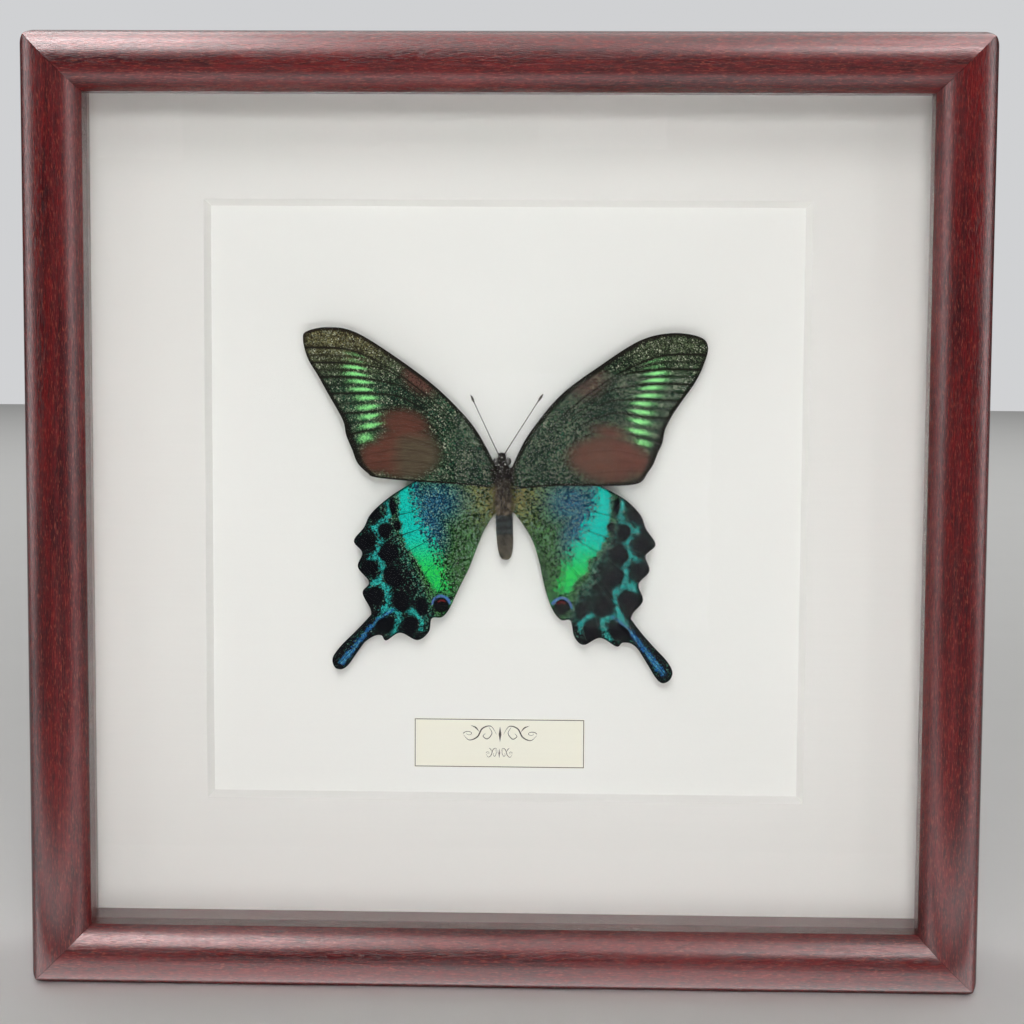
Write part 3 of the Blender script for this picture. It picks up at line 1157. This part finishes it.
def wing_shape(grid, cell, veins, settings, y_front):
    """Front and back skins of a wing, joined at the rim: y = front plane - camber
    sin(pi r / WING_REACH)^1.2 - vein height exp(-(d / VEIN_WIDTH)²), with d the distance to a vein,
    plus gentle pleats between the veins and a faint ripple."""
    to_vein, _ = vein_distances(grid, cell, veins)
    span = np.linalg.norm(grid, axis=2)
    bow = settings.camber / MM * np.sin(math.pi * np.clip(span / WING_REACH, 0, 1)) ** 1.2
    fade = smooth(2, 12, span) * smooth(0, 0.06, 1 - np.linspace(0, 1, ROWS))[None, :]
    ridge = settings.vein_height / MM * np.exp(-((to_vein / VEIN_WIDTH) ** 2)) * (0.3 + 0.7 * fade)
    pleat = 0.06 * np.cos(2 * math.pi * cell)[:, None] * fade
    ripple = 0.05 * np.sin(grid[..., 0] * 0.9 + grid[..., 1] * 0.6) * np.sin(grid[..., 1] * 0.8) * fade
    front_y = y_front - bow - ridge + pleat + ripple
    back_y = y_front - bow + settings.wing_thickness / MM + pleat + ripple
    columns, rows = grid.shape[:2]
    front = np.dstack([grid[..., 0], front_y, grid[..., 1]]) + (BODY[0], 0, BODY[2])
    back = np.dstack([grid[..., 0], back_y, grid[..., 1]]) + (BODY[0], 0, BODY[2])
    sides = grid_faces(columns, rows)
    shift = columns * rows
    ring = np.concatenate([
        np.arange(columns) * rows, (columns - 1) * rows + np.arange(1, rows),
        (np.arange(columns - 1)[::-1]) * rows + rows - 1, np.arange(1, rows - 1)[::-1],
    ])
    after = np.roll(ring, -1)
    rim = np.stack([ring, ring + shift, after + shift, after], axis=-1)
    faces = np.concatenate([sides, sides[:, ::-1] + shift, rim])
    points = np.concatenate([front.reshape(-1, 3), back.reshape(-1, 3)])
    return points, faces


def make_wings(settings):
    """Four wings. A right wing carries its left one's marks, point for point, on its own outline."""
    kinds = (
        ("forewing", FOREWING_VEINS, FOREWING_CORNERS, FOREWING_Y, forewing_material),
        ("hindwing", HINDWING_VEINS, HINDWING_CORNERS, HINDWING_Y, hindwing_material),
    )
    for kind, veins, corners, y_front, material_of in kinds:
        cover = material_of(settings)
        left = OUTLINES[f"{kind}_left"]
        left_curves = wing_guides(left, corners, veins)
        left_grid, cell = wing_grid(left, corners, veins, left_curves)
        to_vein, to_fold = (part.ravel() for part in vein_distances(left_grid, cell, veins))
        to_vein = to_vein + 0.3 * smooth(30, 12, np.linalg.norm(left_grid, axis=2)).ravel()
        for side in ("left", "right"):
            grid = left_grid
            if side == "right":
                outline = OUTLINES[f"{kind}_right"]
                curves = wing_guides(outline, corners, veins, left_curves)
                grid, cell = wing_grid(outline, corners, veins, curves)
            points, faces = wing_shape(grid, cell, veins, settings, y_front + WING_INSET)
            if kind == "forewing":
                marks = forewing_fields(left_grid, cell, side)
            else:
                marks = hindwing_fields(left_grid)
            fields = {"vein": to_vein, "fold": to_fold, **marks}
            values = {key: np.tile(data, 2) for key, data in fields.items()}
            piece(
                f"{kind}_{side}_scaled", points, faces.tolist(), cover, f"{kind}_scales",
                replaces=[f"{kind}_{side}"], values=values, sharp=50,
            )


# ---- Body ----


def body_place(points):
    """From the body's own lines, with its long axis along Z, to its place between the wings."""
    points = np.asarray(points) + (BODY_SHIFT, 0, 0)
    x, y, z = np.asarray(points, float).T
    cos, sin = math.cos(BODY_TILT), math.sin(BODY_TILT)
    return np.stack([x * cos - z * sin, y, z * cos + x * sin], axis=-1) + BODY


def lathe(stations, flatten, columns=48, rows=60, lumps=0.0):
    """A closed form around Z: radius r(z) from a curve through [z, r] stations, flattened in Y, with
    lumps r (1 + a sin(3 angle + z) sin(1.7 z)). Gives its points and their outward directions."""
    curve = spline(stations, np.linspace(0, len(stations) - 1, rows))
    height, radius = curve[:, 0], np.maximum(curve[:, 1], 0.02)
    angle = np.linspace(0, 2 * math.pi, columns, endpoint=False)
    swell = 1 + lumps * np.sin(3 * angle[None, :] + height[:, None]) * np.sin(1.7 * height[:, None])
    reach = radius[:, None] * swell
    points = np.stack([
        reach * np.cos(angle), reach * np.sin(angle) * flatten,
        np.broadcast_to(height[:, None], reach.shape),
    ], axis=-1)
    slope = -np.gradient(radius) / np.gradient(height)
    out = unit(np.stack([
        np.broadcast_to(np.cos(angle) * flatten, reach.shape),
        np.broadcast_to(np.sin(angle), reach.shape),
        np.broadcast_to(slope[:, None] * flatten, reach.shape),
    ], axis=-1))
    return points, out


def egg(centre, radii, columns=28, rows=18):
    """A closed ellipsoid with a small flat cap at each pole."""
    rise = np.linspace(-math.pi / 2 + 0.04, math.pi / 2 - 0.04, rows)
    turn = np.linspace(0, 2 * math.pi, columns, endpoint=False)
    points = np.stack([
        np.outer(np.cos(rise), np.cos(turn)) * radii[0] + centre[0],
        np.outer(np.cos(rise), np.sin(turn)) * radii[1] + centre[1],
        np.outer(np.sin(rise), np.ones(columns)) * radii[2] + centre[2],
    ], axis=-1)
    return points.reshape(-1, 3), tube_faces(rows, columns)


HAIR_STATIONS = (0.0, 0.4, 0.75)
POINTS_PER_HAIR = 3 * len(HAIR_STATIONS) + 1


def hairs(roots, ways, lengths, radius, droop):
    """Three-sided spikes: p(s) = root + length (way s + droop s²), s in 0, 0.4, 0.75 and 1, whose
    radius shrinks as (1 - s)^0.7 down to a point."""
    lengths = np.asarray(lengths)[:, None]
    side = unit(np.cross(ways, [0.3, 0.2, 0.93]))
    other = np.cross(unit(ways), side)
    rings = []
    for s in HAIR_STATIONS:
        middle = roots + lengths * (ways * s + droop * s * s)
        for turn in (0, 2.1, 4.2):
            swing = math.cos(turn) * side + math.sin(turn) * other
            rings.append(middle + swing * radius * (1 - s) ** 0.7)
    rings.append(roots + lengths * (ways + droop))
    points = np.stack(rings, axis=1)
    number = len(roots)
    pattern = [[0, 2, 1]]
    for low in (0, 3):
        pattern += [[low + j, low + (j + 1) % 3, low + 3 + (j + 1) % 3, low + 3 + j] for j in range(3)]
    pattern += [[6 + j, 6 + (j + 1) % 3, 9] for j in range(3)]
    starts = np.arange(number) * POINTS_PER_HAIR
    faces = []
    for corners in pattern:
        faces += (starts[:, None] + np.array(corners)).tolist()
    reach = np.tile(np.repeat([*HAIR_STATIONS, 1.0], [3, 3, 3, 1]), number)
    return points.reshape(-1, 3), faces, reach


def hair_piece(name, roots, ways, lengths, radius, droop, shades, made):
    """One piece of hair on the body; every hair carries its shade and how far along it a point is."""
    points, faces, reach = hairs(roots, ways, lengths, radius, droop)
    values = {"reach": reach, "shade": np.repeat(shades, POINTS_PER_HAIR)}
    return piece(name, body_place(points), faces, made, "body_fur", values=values)


def on_form(points, out, number, rng):
    """Random places on a form's grid, with their outward directions."""
    row = rng.integers(1, points.shape[0] - 1, number)
    column = rng.integers(0, points.shape[1], number)
    jitter = rng.normal(0, 0.06, (number, 3))
    return points[row, column] + jitter * (1, 0.6, 1), out[row, column]


def locks(roots, number, rng):
    """Gathers hairs into locks: each hair's lock is the nearest of some random roots. Gives each
    hair the shade and the lean of its lock."""
    seeds = roots[rng.choice(len(roots), number, replace=False)]
    nearest = np.linalg.norm(roots[:, None] - seeds[None], axis=2).argmin(axis=1)
    shades = rng.uniform(0, 1, number) ** 1.6
    leans = rng.normal(0, 0.26, (number, 3))
    return shades[nearest], leans[nearest]


THORAX = [(4.2, 0.05), (3.9, 1.1), (3.2, 1.6), (2.2, 1.85), (0.6, 2.1), (-1.4, 2.25), (-4.2, 2.3),
          (-6.6, 2.1), (-8.2, 1.7), (-9.0, 0.9), (-9.25, 0.05)]
ABDOMEN_TOP = -8.6
ABDOMEN_LENGTH = 13.1
RINGS = 7


def abdomen_form():
    """Overlapping rings on a blunt taper, drawn in a little at the start:
    r = 2.25 (1 - s^8)^0.5 (1 - 0.12 s) (0.93 + 0.07 |sin(rings pi s)|^0.6), s from 0 to 1 at the tip."""
    s = np.linspace(0.0, 0.999, 140)
    taper = 2.25 * np.sqrt(1 - s**8) * (1 - 0.12 * s) * smooth(-0.12, 0.1, s)
    swell = 0.93 + 0.07 * np.abs(np.sin(math.pi * s * RINGS)) ** 0.6
    stations = np.stack([ABDOMEN_TOP - ABDOMEN_LENGTH * s, taper * swell], axis=-1)
    return lathe(stations, 0.95, 48, 140)


def make_body(settings):
    """Thorax and abdomen as lathed forms under locks of short hair, with tufts over the wing roots."""
    rng = np.random.default_rng(7)
    dark_hair = hair("body_hair", screen(9, 8, 8), tuple(settings.hair_dark))
    brown_hair = hair("thorax_hair_brown", screen(26, 21, 18), screen(160, 142, 116))
    gold_hair = hair("golden_hair", screen(52, 50, 26), tuple(settings.hair_gold))
    blue_grey_hair = hair("abdomen_hair_blue_grey", screen(9, 13, 15), screen(136, 156, 156))
    speckled_hair = hair("abdomen_hair_speckled", screen(13, 10, 8), screen(236, 222, 192))
    skin = chitin("body_skin", screen(24, 21, 18), 0.0)

    thorax, out = lathe(THORAX, 1.28, lumps=0.03)
    piece("thorax_form", body_place(thorax.reshape(-1, 3)), tube_faces(*thorax.shape[:2]), skin,
          "body_fur", replaces=["thorax"])
    roots, normals = on_form(thorax, out, settings.thorax_hairs, rng)
    shade, lean = locks(roots, 240, rng)
    ways = unit(normals * 0.75 + np.array([0, -0.05, -0.75]) + lean + rng.normal(0, 0.1, normals.shape))
    z = roots[:, 2]
    pale = smooth(1.6, -0.4, z) * (0.45 + 0.55 * smooth(0, -5, z))
    shades = np.clip(pale * (0.12 + shade) * rng.uniform(0.5, 1.1, len(z)), 0.0, 1)
    lengths = rng.uniform(0.7, 1.5, len(z)) * np.interp(z, [-9, -6, 2, 4], [0.9, 1.2, 0.8, 0.5])
    hair_piece("thorax_hair", roots, ways, lengths, 0.075, np.array([0, 0.1, -0.2]), shades, brown_hair)

    abdomen, out = abdomen_form()
    piece("abdomen_form", body_place(abdomen.reshape(-1, 3)), tube_faces(*abdomen.shape[:2]), skin,
          "body_fur", replaces=["abdomen"])
    roots, normals = on_form(abdomen, out, settings.abdomen_hairs, rng)
    ways = unit(normals * 0.35 + np.array([0, 0, -0.9]) + rng.normal(0, 0.16, normals.shape))
    speckle = rng.uniform(0, 1, len(roots)) ** 5.0
    tip = smooth(-13.5, -16, roots[:, 2])
    sheen = 0.3 * smooth(-0.8, 1.0, np.sin(roots[:, 2] * 3.1)) * (1 - tip) * rng.uniform(0.2, 1, len(tip))
    shades = np.clip(speckle * (0.5 + 0.5 * tip) + 0.015 * tip + sheen, 0.0, 1)
    lengths = rng.uniform(0.3, 0.6, len(roots))
    for name, part, made in (("upper", tip < 0.5, blue_grey_hair), ("lower", tip >= 0.5, speckled_hair)):
        hair_piece(f"abdomen_hair_{name}", roots[part], ways[part], lengths[part], 0.085,
                   np.array([0, 0.0, -0.1]), shades[part], made)

    make_tufts("golden_tuft", gold_hair, (-9.2, -0.6), (34, 24), (240, 110), 3.2, rng)
    make_tufts("shoulder_tuft", dark_hair, (-0.6, 3.6), (0, 30), (160, 300), 1.8, rng)
    make_head(settings, dark_hair, rng)


def make_tufts(name, made, span, fan, numbers, reach, rng):
    """Hair that spreads sideways from the thorax over the wing roots: span is the lowest and highest
    root, fan the middle and the spread of its fall below the level in degrees, numbers how many
    hairs stand on the left and on the right, and reach how far the longest ones go."""
    for side, end, number in ((-1, "left", numbers[0]), (1, "right", numbers[1])):
        start = np.stack([
            side * rng.uniform(1.6, 2.5, number), rng.uniform(-2.3, -1.0, number),
            span[0] + (span[1] - span[0]) * rng.uniform(0, 1, number) ** 0.8,
        ], axis=-1)
        fall = np.radians(rng.normal(*fan, number))
        ways = np.stack([side * np.cos(fall), rng.normal(0.05, 0.12, number), -np.sin(fall)], axis=-1)
        lengths = 0.8 + reach * rng.uniform(0, 1, number) ** 2.4
        shades = rng.uniform(0.0, 1.0, number) ** 1.5
        hair_piece(f"{name}_{end}", start, ways, lengths, 0.055, np.array([0, 0.2, 0]), shades, made)


def make_head(settings, dark_hair, rng):
    """A round head on a black collar, with two glossy eyes, black hair and rows of white dots."""
    skin = chitin("head_skin", settings.chitin)
    skull, skull_middle = (1.2, 1.6, 1.8), (0, 0, 5.85)
    collar, collar_middle = (1.7, 2.2, 2.3), (0, 0.1, 3.3)
    points, faces = joined([egg(skull_middle, skull), egg(collar_middle, collar)])
    piece("head_skull", body_place(points), faces, skin, "chitin", replaces=["head"])
    eyes = [egg((side * 1.62, -0.25, 5.4), (0.92, 1.25, 1.15), 36, 24) for side in (-1, 1)]
    points, faces = joined(eyes)
    gloss = material(
        "eye_gloss", lambda n: {"Base Color": n.mix(
            n.noise(n.place(), scale=2.0), screen(22, 22, 21), screen(62, 61, 57))},
        roughness=0.3, coat_weight=1.0, coat_roughness=0.2,
    )
    piece("compound_eyes", body_place(points), faces, gloss, "chitin")

    parts = []
    for centre, radii, number in ((skull_middle, skull, 900), (collar_middle, collar, 1500)):
        ways = unit(rng.normal(0, 1, (number, 3)))
        ways = ways[(np.abs(ways[:, 0]) < 0.7) | (centre[2] < 4)]
        parts.append((np.array(ways) * radii + centre, ways))
    roots = np.concatenate([part[0] for part in parts])
    ways = np.concatenate([part[1] for part in parts])
    lay = unit(ways * 0.7 + (0, 0, -0.5) + rng.normal(0, 0.15, ways.shape))
    shades = rng.uniform(0, 0.5, len(ways)) ** 2
    hair_piece("head_hair", roots, lay, rng.uniform(0.35, 0.7, len(ways)), 0.055,
               np.array([0, 0, -0.1]), shades, dark_hair)

    dots = [(-0.9, 4.6, 1.0), (0.85, 4.65, 1.0), (-0.5, 2.95, 0.9), (-0.85, 2.2, 0.7), (-0.5, 2.15, 0.7),
            (0.75, 2.5, 0.7), (0.0, 6.6, 0.8), (-0.3, 4.0, 0.4), (0.25, 3.9, 0.4)]
    shapes = []
    for x, z, size in dots:
        depth = max(
            body[1] * math.sqrt(max(0.02, 1 - (x / body[0]) ** 2 - ((z - middle) / body[2]) ** 2))
            for body, middle in ((skull, skull_middle[2]), (collar, collar_middle[2]))
        )
        shapes.append(egg((x, -depth - 0.2, z), (0.24 * size, 0.14, 0.2 * size), 12, 8))
    white = material(
        "white_dots", lambda n: {"Base Color": n.mix(
            n.noise(n.place(), scale=6.0), screen(150, 150, 140), screen(230, 230, 220))},
        roughness=0.8,
    )
    points, faces = joined(shapes)
    piece("collar_dots", body_place(points), faces, white, "body_fur")


# ---- Antennae ----

# Places from the middle of the thorax, from the head to the club's end.
ANTENNAE = {
    "left": [(-1.6, -0.4, 7.4), (-2.1, -0.7, 8.4), (-4.1, -1.4, 12.6), (-7.8, -2.2, 20.6),
             (-8.6, -2.35, 22.3), (-9.3, -2.4, 23.9)],
    "right": [(0.1, -0.4, 7.4), (0.6, -0.7, 8.4), (3.5, -1.4, 13), (8.9, -2.2, 21.6),
              (9.9, -2.4, 23.1), (10.7, -2.4, 24.3)],
}


def sweep(path, radii, sides):
    """A closed round tube: each ring lies across the path, with its own radius."""
    ahead = unit(np.gradient(path, axis=0))
    side = unit(np.cross(ahead, [0.0, 1.0, 0.0]))
    other = np.cross(side, ahead)
    turn = np.linspace(0, 2 * math.pi, sides, endpoint=False)
    ring = side[:, None] * np.cos(turn)[None, :, None] + other[:, None] * np.sin(turn)[None, :, None]
    points = path[:, None] + ring * np.asarray(radii)[:, None, None]
    return points.reshape(-1, 3), tube_faces(len(path), sides)


def make_antennae():
    """Thin ringed stalks, r = 0.13 (1 - 0.25 t) (1 + 0.12 cos(54 turns t)), that swell into a club."""
    horn = chitin("antenna_chitin", screen(58, 54, 48), 0.2)
    for side, places in ANTENNAE.items():
        places = np.array(places)
        share = np.linspace(0, 1, 420)
        path = by_length(spline(places, np.linspace(0, len(places) - 1, 600)), share) + BODY
        rings = 1 + 0.12 * np.cos(2 * math.pi * 54 * share)
        club = 0.25 * np.exp(-(((share - 0.93) / 0.045) ** 2))
        radii = (0.13 * (1 - 0.25 * share) * rings + club) * np.minimum(1, (1.002 - share) * 40) ** 0.5
        points, faces = sweep(path, np.maximum(radii, 0.01), 12)
        piece(f"antenna_{side}_ringed", points, faces, horn, "chitin", replaces=[f"antenna_{side}"])


# ---- Stage ----

WHITE, WARM = (1.0, 1.0, 1.0), (1.0, 0.86, 0.84)
# How much brighter than the room the backdrop looks to the camera.
BACKDROP = 0.57


def area_light(name, place, target, size, power, tint=WHITE):
    """A rectangular lamp that faces its target."""
    lamp = bpy.data.lights.new(name, "AREA")
    lamp.shape = "RECTANGLE"
    lamp.size, lamp.size_y = size
    lamp.energy = power
    lamp.color = tint
    made = bpy.data.objects.new(name, lamp)
    made.location = place
    made.rotation_euler = (Vector(target) - Vector(place)).to_track_quat("-Z", "Y").to_euler()
    bpy.context.scene.collection.objects.link(made)
    return made


# Reflection cards, in metres: place, what it faces, its two sides, its share of the card glow and its
# tint. They show only as sheens on the lacquer and the papers.
CARDS = {
    "over": ((-0.02, -0.105, 0.52), (-0.02, 0.26, -0.411), (1.0, 0.55), 3.4, WARM),
    "corner_left": ((-0.19, -0.2, 0.52), (-0.1, -0.03, 0.2), (0.14, 0.12), 0.5, WHITE),
    "corner_right": ((0.17, -0.2, 0.52), (0.1, -0.03, 0.2), (0.1, 0.1), 0.12, WHITE),
    "glare_left": ((-0.21, -0.44, 0.5), (-0.11, -0.03, 0.247), (0.14, 0.13), 0.62, WHITE),
    "glare_right": ((0.18, -0.44, 0.5), (0.11, -0.03, 0.247), (0.12, 0.13), 0.6, WHITE),
    "floor": ((0.0, -0.12, 0.0005), (0.0, -0.12, 1.0), (1.2, 0.08), 0.6, WHITE),
    "over_left": ((-0.26, -0.105, 0.51), (-0.26, 0.26, -0.421), (0.3, 0.5), 1.9, WHITE),
    "over_right": ((0.3, -0.105, 0.51), (0.3, 0.26, -0.421), (0.25, 0.5), 1.3, WHITE),
    "left": ((-0.9, -0.2, 0.3), (0.0, -0.2, 0.2), (0.5, 0.7), 2.9, WHITE),
    "right": ((0.9, -0.2, 0.3), (0.0, -0.2, 0.2), (0.5, 0.7), 2.9, WHITE),
    "low": ((0.0, -0.037, 0.0005), (0.0, -0.037, 1.0), (1.3, 0.022), 0.2, WHITE),
}


def make_stage(settings):
    """The camera, a pale floor, a dim room, five lamps that the lacquer does not mirror, the cards
    and a panel over the floor behind."""
    scene = bpy.context.scene
    scene.view_settings.view_transform = "Standard"
    lens = bpy.data.cameras.new("camera")
    lens.lens = settings.lens
    lens.sensor_width = 36.0
    lens.clip_start = 0.01
    camera = bpy.data.objects.new("camera", lens)
    camera.location = settings.camera_place
    camera.rotation_euler = settings.camera_turn
    scene.collection.objects.link(camera)
    scene.camera = camera

    reach = 3.0
    floor = bpy.data.meshes.new("floor")
    corners = [(-reach, -reach, 0), (reach, -reach, 0), (reach, reach, 0), (-reach, reach, 0)]
    floor.from_pydata(corners, [], [(0, 1, 2, 3)])
    darker = tuple(value * 0.97 for value in settings.floor_colour)
    floor.materials.append(material(
        "floor_paint", lambda n: {"Base Color": n.mix(
            n.noise(n.place(), scale=0.02, detail=4.0), darker, tuple(settings.floor_colour))},
        roughness=0.9, specular_ior_level=0.1,
    ))
    ground = bpy.data.objects.new("floor", floor)
    scene.collection.objects.link(ground)

    world = bpy.data.worlds.new("studio")
    world.use_nodes = True
    scene.world = world
    n = Nodes(world.node_tree)
    seen = n.add("ShaderNodeLightPath", out="Is Camera Ray")
    level = n.plus(settings.surround, n.times(seen, BACKDROP))
    shade = world.node_tree.nodes["Background"]
    shade.inputs["Color"].default_value = (0.97, 0.98, 1.0, 1.0)
    world.node_tree.links.new(level, shade.inputs["Strength"])

    middle = (0.0, 0.0, HALF * MM)
    lamps = (
        ("softbox", (0.0, -0.75, 0.50), (0.24, 0.20), settings.softbox),
        ("upper_light", (0.03, -0.67, 0.29), (0.07, 0.06), settings.upper),
        ("front_light", (0.02, -0.67, 0.07), (0.14, 0.14), settings.front),
        ("lamp_left", (-0.32, -1.15, 0.32), (0.08, 0.08), settings.side_lamp),
        ("lamp_right", (0.39, -1.13, 0.32), (0.08, 0.08), settings.side_lamp),
    )
    for name, place, size, watts in lamps:
        area_light(name, place, middle, size, watts).visible_glossy = False
    glow = settings.card_glow * math.pi
    for name, (place, target, size, share, tint) in CARDS.items():
        card = area_light(f"card_{name}", place, target, size, glow * share, tint)
        card.visible_camera = False
        card.visible_diffuse = False
        card.visible_transmission = False
    area_light("back_panel", (0.0, 1.5, 1.6), (0.0, 1.4, 0.0), (3.0, 2.6), settings.back)


# ---- Operators, panel and start ----


class BUTTERFLY_OT_stage(bpy.types.Operator):
    """Set up the camera, the floor and the lights"""

    bl_idname = "framed_butterfly.stage"
    bl_label = "Stage"

    def execute(self, context):
        make_stage(context.scene.butterfly_stage)
        return {"FINISHED"}


class BUTTERFLY_OT_effects(bpy.types.Operator):
    """Build the grain, paper, dust and wing scale effects that the finishes share"""

    bl_idname = "framed_butterfly.effects"
    bl_label = "Shared Effects"

    def execute(self, context):
        build_effects()
        return {"FINISHED"}


class BUTTERFLY_OT_rails(bpy.types.Operator):
    """Make the four mitred rails of stained wood"""

    bl_idname = "framed_butterfly.rails"
    bl_label = "Rails"

    def execute(self, context):
        make_rails(context.scene.butterfly_frame)
        return {"FINISHED"}


class BUTTERFLY_OT_sheets(bpy.types.Operator):
    """Finish the glass, spacers, mat, card, label paper and back board"""

    bl_idname = "framed_butterfly.sheets"
    bl_label = "Glass and Sheets"

    def execute(self, context):
        make_sheets(context.scene.butterfly_frame)
        return {"FINISHED"}


class BUTTERFLY_OT_label(bpy.types.Operator):
    """Print the label's border and ornament"""

    bl_idname = "framed_butterfly.label"
    bl_label = "Label Printing"

    def execute(self, context):
        make_label(context.scene.butterfly_frame)
        return {"FINISHED"}


class BUTTERFLY_OT_wings(bpy.types.Operator):
    """Make the four wings and their scale cover"""

    bl_idname = "framed_butterfly.wings"
    bl_label = "Wings"

    def execute(self, context):
        make_wings(context.scene.butterfly_specimen)
        return {"FINISHED"}


class BUTTERFLY_OT_body(bpy.types.Operator):
    """Make the head, thorax and abdomen with their hair"""

    bl_idname = "framed_butterfly.body"
    bl_label = "Body"

    def execute(self, context):
        make_body(context.scene.butterfly_specimen)
        return {"FINISHED"}


class BUTTERFLY_OT_antennae(bpy.types.Operator):
    """Make the two clubbed antennae"""

    bl_idname = "framed_butterfly.antennae"
    bl_label = "Antennae"

    def execute(self, context):
        make_antennae()
        return {"FINISHED"}


class BUTTERFLY_OT_fixings(bpy.types.Operator):
    """Finish the pin, the retaining tabs and the hanger"""

    bl_idname = "framed_butterfly.fixings"
    bl_label = "Fixings"

    def execute(self, context):
        make_fixings()
        return {"FINISHED"}


OPERATORS = (
    BUTTERFLY_OT_stage, BUTTERFLY_OT_effects, BUTTERFLY_OT_rails, BUTTERFLY_OT_sheets,
    BUTTERFLY_OT_label, BUTTERFLY_OT_wings, BUTTERFLY_OT_body, BUTTERFLY_OT_antennae,
    BUTTERFLY_OT_fixings,
)


class BUTTERFLY_PT_panel(bpy.types.Panel):
    """Lists the steps and settings of the framed butterfly"""

    bl_idname = "BUTTERFLY_PT_panel"
    bl_label = "Framed Butterfly"
    bl_space_type = "VIEW_3D"
    bl_region_type = "UI"
    bl_category = "Framed Butterfly"

    def draw(self, context):
        for operator in OPERATORS:
            self.layout.operator(operator.bl_idname)
        for name in SETTINGS:
            group = getattr(context.scene, name)
            box = self.layout.box()
            for key in group.__annotations__:
                box.prop(group, key)


SETTINGS = {
    "butterfly_frame": FrameSettings,
    "butterfly_specimen": ButterflySettings,
    "butterfly_stage": StageSettings,
}


def register():
    for group in (*SETTINGS.values(), *OPERATORS, BUTTERFLY_PT_panel):
        bpy.utils.register_class(group)
    for name, group in SETTINGS.items():
        setattr(bpy.types.Scene, name, bpy.props.PointerProperty(type=group))


def unregister():
    for name in SETTINGS:
        delattr(bpy.types.Scene, name)
    for group in (BUTTERFLY_PT_panel, *reversed(OPERATORS), *SETTINGS.values()):
        bpy.utils.unregister_class(group)


def main():
    register()
    bpy.ops.framed_butterfly.stage()
    bpy.ops.framed_butterfly.effects()
    bpy.ops.framed_butterfly.rails()
    bpy.ops.framed_butterfly.sheets()
    bpy.ops.framed_butterfly.label()
    bpy.ops.framed_butterfly.wings()
    bpy.ops.framed_butterfly.body()
    bpy.ops.framed_butterfly.antennae()
    bpy.ops.framed_butterfly.fixings()


if __name__ == "__main__":
    main()
